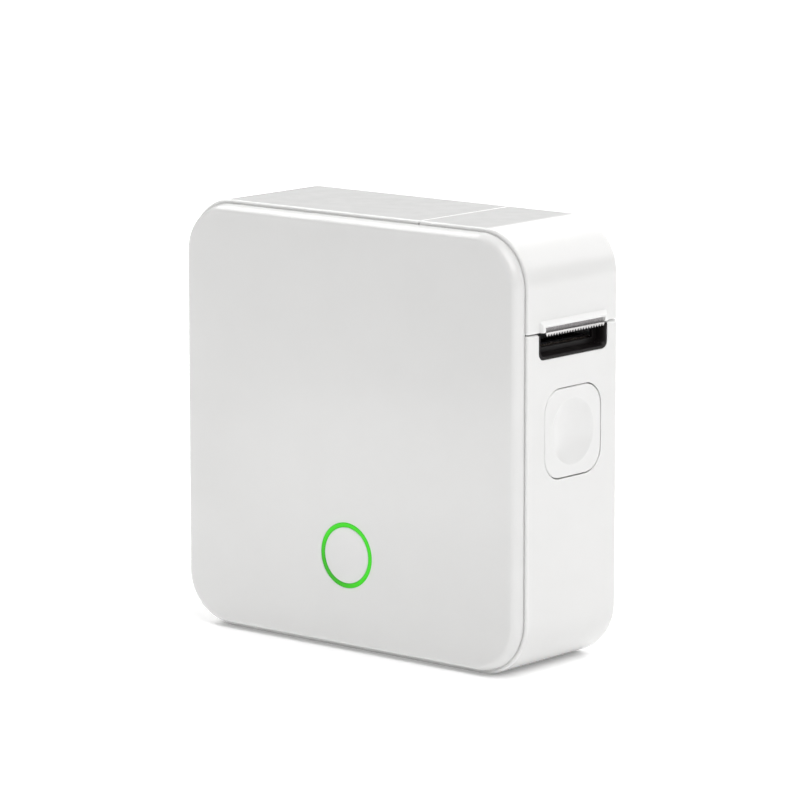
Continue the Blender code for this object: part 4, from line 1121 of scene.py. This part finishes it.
def roll_bay():
    """The inner frame: the bay, its hinge ears and its screw ears."""
    low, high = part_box("roll_bay")
    front, back = low.y, high.y
    inner_front, inner_back = front + BAY_WALL, back - BAY_WALL
    left, root = PIN[0] - 0.2 * MM, 73.5 * MM
    ear = [(left, root), (PIN[0] + EAR_RADIUS, root)]
    ear += [*arc(PIN, EAR_RADIUS, 0, 189, 32), (left, PIN[1] - EAR_RADIUS)]
    added = [prism(ear, *ends) for ends in ((front, inner_front), (inner_back, back))]
    holes = [rod(PIN, PIN_HOLE, (front - MM, back + MM), steps=32)]
    for x, z in BAY_EARS:
        corners = ((x - 2) * MM, (z - 2) * MM), ((x + 5) * MM, (z + 2) * MM)
        added.append(prism(rounded_box(*corners, 1.5 * MM), inner_back, back))
        holes.append(rod((x * MM, z * MM), MM, (inner_back - MM, back + MM), steps=32))
    mesh = softened(cut(fused(bay_walls(low, high), *added), *holes), 0.12 * MM)
    add_piece("roll_bay_frame", mesh, "case", FRAME, ["roll_bay"])


def label_roll():
    """The wound tape, with the outermost labels standing a little proud of their liner."""
    low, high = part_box("label_roll")
    radius = (high.x - low.x) / 2
    ends = (low.y, high.y)
    labels, space, lift, margin = 3, 9, 0.07 * MM, 0.5 * MM
    patches = []
    for label in range(labels):
        start = 25 + label * 360 / labels
        end = start + 360 / labels - space
        outline = arc(ROLL, radius, start, end, 40) + arc(ROLL, radius - 4 * lift, end, start, 40)
        patches.append(prism(outline, low.y + margin, high.y - margin))
    mesh = fused(washer(ROLL, radius - lift, ROLL_BORE, ends, steps=128), *patches)
    add_piece("label_tape", mesh, "roll", PAPER, ["label_roll"])
    core = washer(ROLL, ROLL_BORE - 0.05 * MM, CORE_BORE, ends, edge=0.12 * MM, steps=96)
    add_piece("tape_core", core, "roll", CARD, ["roll_core"])


def platen_shaft():
    """The steel shaft with a groove for a clip near each end."""
    low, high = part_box("platen_shaft")
    groove, edge = 0.25 * MM, 0.15 * MM
    bottom = SHAFT_RADIUS - groove
    profile = [(0, low.y), (SHAFT_RADIUS - edge, low.y), (SHAFT_RADIUS, low.y + edge)]
    for end, side in ((low.y + 0.45 * MM, 1), (high.y - 0.45 * MM, -1)):
        near, far = sorted((end, end + side * groove))
        profile += [(SHAFT_RADIUS, near), (bottom, near), (bottom, far), (SHAFT_RADIUS, far)]
    profile += [(SHAFT_RADIUS, high.y - edge), (SHAFT_RADIUS - edge, high.y), (0, high.y)]
    shaft = turned(profile, PLATEN, 64)
    add_piece("platen_axle", shaft, "platen", STEEL, ["platen_shaft"])


def platen():
    low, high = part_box("platen_roller")
    radius = (high.x - low.x) / 2
    rubber = washer(PLATEN, radius, SHAFT_RADIUS + 0.03 * MM, (low.y, high.y), 0.25 * MM, 96)
    add_piece("platen_sleeve", rubber, "platen", RUBBER, ["platen_roller"])
    platen_shaft()
    for bush in ("platen_bush_front", "platen_bush_rear"):
        low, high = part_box(bush)
        radius = (high.x - low.x) / 2
        ring = washer(PLATEN, radius, SHAFT_RADIUS + 0.05 * MM, (low.y, high.y), 0.12 * MM)
        add_piece(f"{bush}_ring", ring, "lid", GEAR, [bush])


def hinge_pin():
    low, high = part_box("hinge_pin")
    pin = rod(PIN, PIN_RADIUS, (low.y, high.y), edge=0.12 * MM)
    add_piece("hinge_rod", pin, "case", STEEL, ["hinge_pin"])


def lid_spring():
    """The lid's torsion spring: four turns of round wire round the hinge, with two legs."""
    radius, ends = 0.98 * MM, (-6.2 * MM, -3.9 * MM)
    winding = coil(PIN, radius, ends, 4)
    start, end = Vector(winding[0]), Vector(winding[-1])
    lid_leg = [start + Vector((0, 0, -6.0 + 0.6 * i)) * MM for i in range(10)]
    frame_leg = [end + Vector((0, 0, -0.6 - 0.6 * i)) * MM for i in range(10)]
    wire = tube([*lid_leg, *winding, *frame_leg], WIRE)
    add_piece("lid_spring_wire", wire, "case", SPRING, ["lid_spring"])


def compression_spring(node, axis, length, turns):
    """A coil of round wire in a node's place, lying along an axis."""
    low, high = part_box(node)
    middle = (low + high) / 2
    along = "XYZ".index(axis)
    start, end = middle.copy(), middle.copy()
    start[along] = low[along] + 1.1 * WIRE
    end[along] = start[along] + length
    wire = turned_to(tube(coil((0, 0), 1.4 * MM, (0, length), turns), WIRE), axis)
    spring = add_piece(f"{node}_wire", moved(wire, *start), None, SPRING, [node])
    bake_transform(spring)


def springs():
    lid_spring()
    for node, axis, length, turns, moving_body in (
        ("release_spring", "X", 4.4 * MM, 6, "release"),
        ("head_spring_1", "Z", 4.1 * MM, 5, "head"),
        ("head_spring_2", "Z", 4.1 * MM, 5, "head"),
    ):
        compression_spring(node, axis, length, turns)


# ---------------------------------------------------------------- gears and motor


def meshed_phase(center, gear, phase, other, other_gear):
    """The turn of a gear at other that puts it in mesh with a gear at center."""
    line = Vector(other) - Vector(center)
    angle = math.atan2(line.y, line.x)
    ratio = TEETH[gear] / TEETH[other_gear]
    return angle + math.pi + math.pi / TEETH[other_gear] + (angle - phase) * ratio


def gear_outline(center, gear, phase):
    """A spur gear's outline with 20 degree involute flanks and rounded tips."""
    teeth = TEETH[gear]
    pitch = MODULE * teeth / 2
    base = pitch * math.cos(PRESSURE_ANGLE)
    tip, root = pitch + 0.75 * MODULE, pitch - 1.1 * MODULE
    half = math.pi / (2 * teeth) - BACKLASH / (2 * pitch)

    def involute(radius):
        angle = math.acos(min(1.0, base / radius))
        return math.tan(angle) - angle

    def flank(radius):
        return half + involute(pitch) - involute(max(radius, base))

    start = max(base, root)
    radii = [start + (tip - 0.05 * MM - start) * i / 6 for i in range(7)]
    side = [(root, flank(start) + 0.12 * half), (root + 0.08 * MM, flank(start) + 0.03 * half)]
    side += [(radius, flank(radius)) for radius in radii if radius > root + 0.1 * MM]
    side.append((tip, flank(tip) - 0.05 * MM / tip))
    outline = []
    for tooth in range(teeth):
        middle = phase + 2 * math.pi * tooth / teeth
        points = [(radius, middle - angle) for radius, angle in side]
        points += [(radius, middle + angle) for radius, angle in reversed(side)]
        outline += [
            (center[0] + r * math.cos(a), center[1] + r * math.sin(a)) for r, a in points
        ]
    return outline


def gear_blank(center, gear, phase, ends, bore):
    """A toothed disc with a bore."""
    disc = prism(gear_outline(center, gear, phase), *ends)
    return cut(disc, rod(center, bore, (ends[0] - MM, ends[1] + MM), steps=48))


def web(center, hub, rim, y_front, y_back):
    """The ring-shaped recess in a gear's face."""
    return turned([(rim, y_front), (rim, y_back), (hub, y_back), (hub, y_front)], center, 64)


def web_holes(center, radius, hole, count, ends):
    return [rod(place, hole, ends, steps=32) for place in circle(center, radius, count)]


def gears():
    """The train from the motor's pinion over the double gear and the idler to the platen."""
    wheel_phase = meshed_phase(MOTOR, "pinion", 0.0, REDUCTION, "wheel")
    idler_phase = meshed_phase(REDUCTION, "small", wheel_phase, IDLER, "idler")
    platen_phase = meshed_phase(IDLER, "idler", idler_phase, PLATEN, "platen")
    bore = AXLE_RADIUS + 0.05 * MM
    press_fit = 0.02 * MM
    outer_low, outer_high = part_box("motor_pinion")
    inner_low, inner_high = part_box("idler_gear")
    outer_layer, inner_layer = (outer_low.y, outer_high.y), (inner_low.y, inner_high.y)

    pinion = gear_blank(MOTOR, "pinion", 0.0, outer_layer, AXLE_RADIUS + press_fit)

    face = outer_low.y
    wheel = gear_blank(REDUCTION, "wheel", wheel_phase, outer_layer, bore)
    wheel = cut(wheel, web(REDUCTION, 1.7 * MM, 5.2 * MM, face - MM, face + 0.3 * MM))
    joined = (inner_low.y - 0.4 * MM, inner_high.y)
    double = fused(wheel, gear_blank(REDUCTION, "small", wheel_phase, joined, bore))

    face = inner_low.y
    idler = gear_blank(IDLER, "idler", idler_phase, inner_layer, bore)
    idler = cut(
        idler,
        web(IDLER, 2.0 * MM, 6.4 * MM, face - MM, face + 0.3 * MM),
        *web_holes(IDLER, 4.2 * MM, 1.2 * MM, 5, (face - MM, inner_high.y + MM)),
    )
    last = gear_blank(PLATEN, "platen", platen_phase, inner_layer, SHAFT_RADIUS + press_fit)
    last = cut(last, web(PLATEN, 1.6 * MM, 2.9 * MM, face - MM, face + 0.25 * MM))

    for name, mesh, body, material, slot, node in (
        ("pinion_gear", pinion, "pinion", STEEL, "steel", "motor_pinion"),
        ("double_gear", double, "reduction", GEAR, "gear_plastic", "reduction_gear"),
        ("idler_wheel", idler, "idler", GEAR, "gear_plastic", "idler_gear"),
        ("platen_wheel", last, "platen", GEAR, "gear_plastic", "platen_gear"),
    ):
        mesh = softened(mesh, 0.04 * MM, steps=1)
        add_piece(name, mesh, body, material, [node])


def gear_plate():
    mesh = from_node("gear_plate", 0.08 * MM)
    add_piece("gear_carrier", mesh, "case", PLATE_STEEL, ["gear_plate"])
    for node, place in (("idler_axle", IDLER), ("reduction_axle", REDUCTION)):
        low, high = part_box(node)
        axle = rod(place, AXLE_RADIUS, (low.y, high.y), edge=0.15 * MM)
        add_piece(f"{node}_stud", axle, "case", STEEL, [node])


def motor():
    """A small can motor: a rolled can, a front boss, an end cap and its shaft."""
    low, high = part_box("motor")
    radius = (high.x - low.x) / 2
    front, boss, boss_height, edge = -8.0 * MM, 1.35 * MM, 0.25 * MM, 0.15 * MM
    seam, cap = 0.12 * MM, high.y - 0.35 * MM
    rim = round_levels(0.5 * MM, 6)
    profile = [(0, low.y), (AXLE_RADIUS - edge, low.y), (AXLE_RADIUS, low.y + edge)]
    profile += [(AXLE_RADIUS, front - boss_height), (boss, front - boss_height), (boss, front)]
    profile += [(radius - inset, front + far) for far, inset in rim]
    for inset, depth in ((0, 1.9), (seam, 1.8), (seam, 1.5), (0, 1.4)):
        profile.append((radius - inset, high.y - depth * MM))
    profile += [(radius - inset, cap - far) for far, inset in reversed(rim)]
    profile += [(2.2 * MM, cap), (2.0 * MM, high.y), (0, high.y)]
    holes = [
        rod((MOTOR[0] + x, MOTOR[1]), 0.65 * MM, (-8.5 * MM, -6.3 * MM), steps=32)
        for x in (-4 * MM, 4 * MM)
    ]
    mesh = softened(cut(turned(profile, MOTOR, 96), *holes), 0.04 * MM)
    add_piece("motor_can", mesh, "case", PLATE_STEEL, ["motor"])


def threaded(radius, y_head, y_tip, pitch=0.5 * MM, depth=0.12 * MM, sides=24):
    """A threaded shank along Y from a head to a tapered tip."""
    length = abs(y_tip - y_head)
    way = 1 if y_tip > y_head else -1
    steps = max(int(length / pitch * 6), 12)
    rings = []
    for i in range(steps + 1):
        along = length * i / steps
        fade = min(1.0, along / pitch, (length - along) / (2 * pitch))
        ring = []
        for k in range(sides):
            angle = 2 * math.pi * k / sides
            turn = (along / pitch + k / sides) % 1.0
            crest = 1 - abs(2 * turn - 1)
            r = radius * (0.82 + 0.18 * min(1.0, (length - along) / pitch + 0.2))
            r += depth * fade * (crest - 0.5)
            ring.append((r * math.cos(angle), y_head + way * along, r * math.sin(angle)))
        rings.append(ring)
    return loft(rings)


def screw(node, shank, head_height, head_in_front):
    """A pan-head screw with a cross recess and a thread, in a node's place."""
    low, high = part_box(node)
    radius = (high.x - low.x) / 2
    top, tip = (low.y, high.y) if head_in_front else (high.y, low.y)
    way = 1 if head_in_front else -1
    under = top + way * head_height
    profile = [(0, top)]
    steps = 6
    for i in range(1, steps + 1):
        turn = math.pi / 2 * i / steps
        out = radius * (0.55 + 0.45 * math.sin(turn))
        profile.append((out, top + way * head_height * 0.6 * (1 - math.cos(turn))))
    profile += [(radius, under), (0, under)]
    head = turned(profile, steps=48)
    reach, half, deep = 0.62 * radius, 0.13 * radius, 0.6 * head_height
    near, far = sorted((top - way * MM, top + way * deep))
    recess = [box((-x, near, -z), (x, far, z)) for x, z in ((reach, half), (half, reach))]
    shaft = threaded(shank, under - way * 0.1 * MM, tip)
    mesh = cleaned(cut(fused(head, shaft), *recess))
    mesh = moved(mesh, (low.x + high.x) / 2, 0, (low.z + high.z) / 2)
    add_piece(f"{node}_body", mesh, "case", STEEL, [node])


def screws():
    for kind, count, shank, head_height, head_in_front in (
        ("case", 4, 0.88 * MM, 1.3 * MM, False),
        ("board", 3, 0.73 * MM, 1.0 * MM, False),
        ("bay", 2, 0.73 * MM, 1.0 * MM, True),
        ("motor", 2, 0.5 * MM, 0.6 * MM, True),
    ):
        for number in range(1, count + 1):
            screw(f"{kind}_screw_{number}", shank, head_height, head_in_front)


# ---------------------------------------------------------------- head and electronics


def print_head():
    """The ceramic bar with its row of sealed driver chips, on a finned bracket."""
    bar = softened(box(HEAD_LOW, HEAD_HIGH), 0.08 * MM)
    add_piece("thermal_bar", bar, "head", CERAMIC, ["print_head"])
    left, width, margin, height = HEAD_HIGH.x - 1.5 * MM, 1.2 * MM, 1.2 * MM, 0.22 * MM
    low = (left, HEAD_LOW.y + margin, HEAD_HIGH.z - SKIN)
    high = (left + width, HEAD_HIGH.y - margin, HEAD_HIGH.z + height)
    seal = softened(box(low, high), 0.1 * MM, steps=3)
    add_piece("driver_seal", seal, "head", CHIP, [])
    fins = from_node("head_bracket", 0.08 * MM)
    add_piece("finned_bracket", fins, "head", ALUMINIUM, ["head_bracket"])


def paper_sensor():
    low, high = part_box("paper_sensor")
    middle = (low + high) / 2
    eyes = []
    apart, radius, deep = 1.1 * MM, 0.55 * MM, 0.25 * MM
    for y in (middle.y - apart, middle.y + apart):
        eye = turned_to(rod((0, 0), radius, (0, MM), steps=32), "Z")
        eyes.append(moved(eye, middle.x, y, high.z - deep))
    mesh = softened(cut(box(low, high), *eyes), 0.08 * MM)
    add_piece("gap_sensor", mesh, "case", CHIP, ["paper_sensor"])


def main_board():
    low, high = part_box("main_board")
    step_x, step_z = -29 * MM, 11.5 * MM
    outline = [(step_x, low.z), (high.x, low.z), (high.x, high.z), (low.x, high.z)]
    outline += [(low.x, step_z), (step_x, step_z)]
    past = (low.y - MM, high.y + MM)
    holes = [rod(place, MM, past, steps=32) for place in in_mm(BOARD_POSTS)]
    mesh = softened(cut(prism(outline, low.y, high.y), *holes), 0.05 * MM)
    add_piece("circuit_board", mesh, "case", BOARD, ["main_board"])


def small_parts():
    """Rows of tiny chip resistors and capacitors on the back of the board."""
    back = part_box("main_board")[1].y
    front, proud = back + SKIN, back + 0.55 * MM
    short, long = 0.4 * MM, 0.75 * MM
    parts = []
    for first_x, first_z, count, step, drop in SMALL_PARTS:
        half_x, half_z = (long, short) if drop else (short, long)
        for i in range(count):
            x, z = (first_x + i * step) * MM, (first_z - i * drop) * MM
            parts.append(((x - half_x, front, z - half_z), (x + half_x, proud, z + half_z)))
    mesh = softened(boxes(parts), 0.06 * MM)
    add_piece("board_small_parts", mesh, "case", CHIP, [])


def chips():
    for node in ("main_chip", "radio_module", "power_switch"):
        mesh = from_node(node, 0.1 * MM)
        add_piece(f"{node}_case", mesh, "case", CHIP, [node])


def sockets():
    """The cable sockets, open at the back, and the pins in them."""
    inset, half = 0.5 * MM, 0.17 * MM
    for node in ("head_socket", "motor_socket", "battery_socket"):
        low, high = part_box(node)
        mouth_low = Vector((low.x + inset, low.y + 0.8 * MM, low.z + inset))
        mouth_high = Vector((high.x - inset, high.y + MM, high.z - inset))
        mesh = softened(cut(box(low, high), box(mouth_low, mouth_high)), 0.06 * MM)
        add_piece(f"{node}_shell", mesh, "case", GEAR, [node])
        wide = high.x - low.x > high.z - low.z
        span = (mouth_high.x - mouth_low.x) if wide else (mouth_high.z - mouth_low.z)
        count = int(span / MM)
        front, back = low.y + 0.7 * MM, high.y - 0.4 * MM
        pins = []
        for i in range(count):
            offset = (i - (count - 1) / 2) * MM
            x, z = (low.x + high.x) / 2, (low.z + high.z) / 2
            x, z = (x + offset, z) if wide else (x, z + offset)
            pins.append(((x - half, front, z - half), (x + half, back, z + half)))
        mesh = softened(boxes(pins), 0.04 * MM)
        add_piece(f"{node}_pins", mesh, "case", STEEL, [])


def chip_legs():
    """The gull-wing legs on the four sides of the main chip."""
    low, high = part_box("main_chip")
    middle = (low + high) / 2
    reach = (high.x - low.x) / 2
    count, pitch, half = 10, 0.6 * MM, 0.13 * MM
    foot, knee = low.y - 0.28 * MM, low.y + 0.07 * MM
    legs = []
    for i in range(count):
        offset = (i - (count - 1) / 2) * pitch
        along = (offset - half, offset + half)
        for sign in (-1, 1):
            out = sorted((sign * (reach - 0.05 * MM), sign * (reach + 0.6 * MM)))
            for (left, right), (under, over) in ((out, along), (along, out)):
                corner = (middle.x + left, foot, middle.z + under)
                legs.append((corner, (middle.x + right, knee, middle.z + over)))
    mesh = softened(boxes(legs), 0.03 * MM, steps=1)
    add_piece("main_chip_legs", mesh, "case", STEEL, [])


def usb_port():
    """The charging socket: a rounded steel shell with a tongue and its contacts."""
    low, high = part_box("usb_port")
    wall, corner = 0.28 * MM, 1.55 * MM
    outer = rounded_box((low.y, low.z), (high.y, high.z), corner, 12)
    inner_low, inner_high = (low.y + wall, low.z + wall), (high.y - wall, high.z - wall)
    inner = rounded_box(inner_low, inner_high, 1.27 * MM, 12)
    shell = side_prism(outer, low.x, high.x)
    floor, tongue_end, contact_end = -33.5 * MM, -38.8 * MM, -38.5 * MM
    mesh = softened(cut(shell, side_prism(inner, low.x - MM, floor)), 0.06 * MM)
    add_piece("usb_shell", mesh, "case", STEEL, ["usb_port"])
    x, y, z = (low + high) / 2
    half_y, half_z = 0.33 * MM, 3.3 * MM
    root = -33.4 * MM
    tongue = box((tongue_end, y - half_y, z - half_z), (root, y + half_y, z + half_z))
    tongue = softened(tongue, 0.12 * MM, steps=3)
    add_piece("usb_tongue", tongue, "case", CHIP, [])
    count, pitch, half = 8, 0.75 * MM, 0.15 * MM
    contacts = []
    for i in range(count):
        place = z + (i - (count - 1) / 2) * pitch
        for sign in (-1, 1):
            near, far = sorted((sign * 0.31 * MM, sign * 0.37 * MM))
            corner = (contact_end, y + near, place - half)
            contacts.append((corner, (-35.0 * MM, y + far, place + half)))
    mesh = softened(boxes(contacts), 0.015 * MM, steps=1)
    add_piece("usb_contacts", mesh, "case", STEEL, [])


def battery():
    """The cell in its shrink film, with the film's folded seams at the ends."""
    low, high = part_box("battery")
    width, corner, groove, deep = 1.1 * MM, 1.9 * MM, 0.06 * MM, 0.08 * MM

    def outline(inset):
        low_corner = (low.x + inset, low.z + inset)
        return rounded_box(low_corner, (high.x - inset, high.z - inset), corner - inset, 10)

    cell = rounded_prism(outline, low.y, high.y, front_round=width, back_round=width)
    seams = []
    for z in (low.z + 1.6 * MM, high.z - 1.6 * MM):
        for front, back in ((low.y - MM, low.y + deep), (high.y - deep, high.y + MM)):
            seams.append(box((low.x - MM, front, z - groove), (high.x + MM, back, z + groove)))
    mesh = softened(cut(cell, *seams), 0.03 * MM)
    add_piece("battery_cell", mesh, "case", FILM, ["battery"])


def twisted(route, radius, lay):
    """Two paths that wind round a route, one turn each lay length."""
    strands = ([], [])
    travelled = 0.0
    last = route[0]
    for point, line, side in carried_frames(route):
        travelled += (point - last).length
        last = point
        angle = 2 * math.pi * travelled / lay
        reach = side * math.cos(angle) + line.cross(side) * math.sin(angle)
        for strand, sign in zip(strands, (1, -1)):
            strand.append(point + reach * sign * radius)
    return strands


def cables():
    """The three leads inside, as twisted pairs along smooth routes."""
    radius, apart, lay = 0.25 * MM, 0.26 * MM, 7 * MM
    for name, anchors in CABLE_ROUTES.items():
        strands = twisted(smooth_route(anchors), apart, lay)
        for number, strand in enumerate(strands, 1):
            nodes = [name] if number == 1 else []
            wire = tube(strand, radius)
            add_piece(f"{name}_strand_{number}", wire, "case", CABLE, nodes)


# ---------------------------------------------------------------- scene


def floor():
    """A broad pale floor that the printer stands on."""
    bm = bmesh.new()
    bmesh.ops.create_grid(bm, x_segments=8, y_segments=8, size=6.0)
    mesh = to_mesh(bm, "floor")
    pale, shader = new_material("pale_floor", (0.95, 0.95, 0.95), 0.7)
    shader.inputs["Emission Color"].default_value = (1.0, 1.0, 1.0, 1.0)
    shader.inputs["Emission Strength"].default_value = FLOOR_GLOW
    shader.inputs["Specular IOR Level"].default_value = 0.2
    vary_roughness(pale, shader, noise_socket(pale, 0.05), 0.65, 0.75)
    mesh.materials.append(pale)
    ground = bpy.data.objects.new("floor", mesh)
    bpy.context.scene.collection.objects.link(ground)
    ground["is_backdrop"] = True


def toward(azimuth, elevation):
    """The direction from the object towards a place, azimuth 0 being straight in front."""
    a, e = math.radians(azimuth), math.radians(elevation)
    return Vector((math.sin(a) * math.cos(e), -math.cos(a) * math.cos(e), math.sin(e)))


def soft_box(name, place, direction, width, height, brightness):
    """A rectangular light that shines against a direction and that no camera sees."""
    lamp = bpy.data.lights.new(name, "AREA")
    lamp.shape = "RECTANGLE"
    lamp.size, lamp.size_y = width, height
    lamp.energy = brightness * math.pi * width * height
    light = bpy.data.objects.new(name, lamp)
    bpy.context.scene.collection.objects.link(light)
    light.location = place
    light.rotation_mode = "QUATERNION"
    light.rotation_quaternion = direction.to_track_quat("Z", "Y")
    light.visible_camera = False


def lights():
    world = bpy.data.worlds.new("studio")
    world.use_nodes = True
    background = world.node_tree.nodes["Background"]
    background.inputs["Color"].default_value = (1.0, 1.0, 1.0, 1.0)
    background.inputs["Strength"].default_value = WORLD_LIGHT
    bpy.context.scene.world = world
    for name, (azimuth, elevation, distance, *panel) in SOFT_BOXES.items():
        direction = toward(azimuth, elevation)
        soft_box(name, VIEW_TARGET + direction * distance, direction, *panel)
    for name, (place, direction, *panel) in PANELS.items():
        soft_box(name, place, Vector(direction), *panel)


def camera():
    lens = bpy.data.cameras.new("camera")
    lens.lens = VIEW_LENS
    lens.sensor_width = VIEW_SENSOR
    eye = bpy.data.objects.new("camera", lens)
    bpy.context.scene.collection.objects.link(eye)
    back = toward(VIEW_AZIMUTH, VIEW_ELEVATION)
    eye.rotation_mode = "QUATERNION"
    roll = Matrix.Rotation(math.radians(VIEW_ROLL), 4, "Z").to_quaternion()
    eye.rotation_quaternion = (-back).to_track_quat("-Z", "Y") @ roll
    eye.location = VIEW_TARGET + back * VIEW_DISTANCE
    bpy.context.scene.camera = eye


def build():
    camera()
    lights()
    floor()
    for make in (
        front_cover,
        rear_housing,
        lid,
        tear_blade,
        outlet_bezel,
        release_button,
        latch_bar,
        power_button,
        light_ring,
        roll_bay,
        label_roll,
        platen,
        hinge_pin,
        springs,
        gears,
        gear_plate,
        motor,
        screws,
        print_head,
        paper_sensor,
        main_board,
        small_parts,
        chips,
        sockets,
        chip_legs,
        usb_port,
        battery,
        cables,
    ):
        make()


build()
bpy.context.scene.view_settings.view_transform = "Standard"
boxes = {"cad": [list(corner) for corner in CAD_BOX], "visual": [list(c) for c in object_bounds()]}
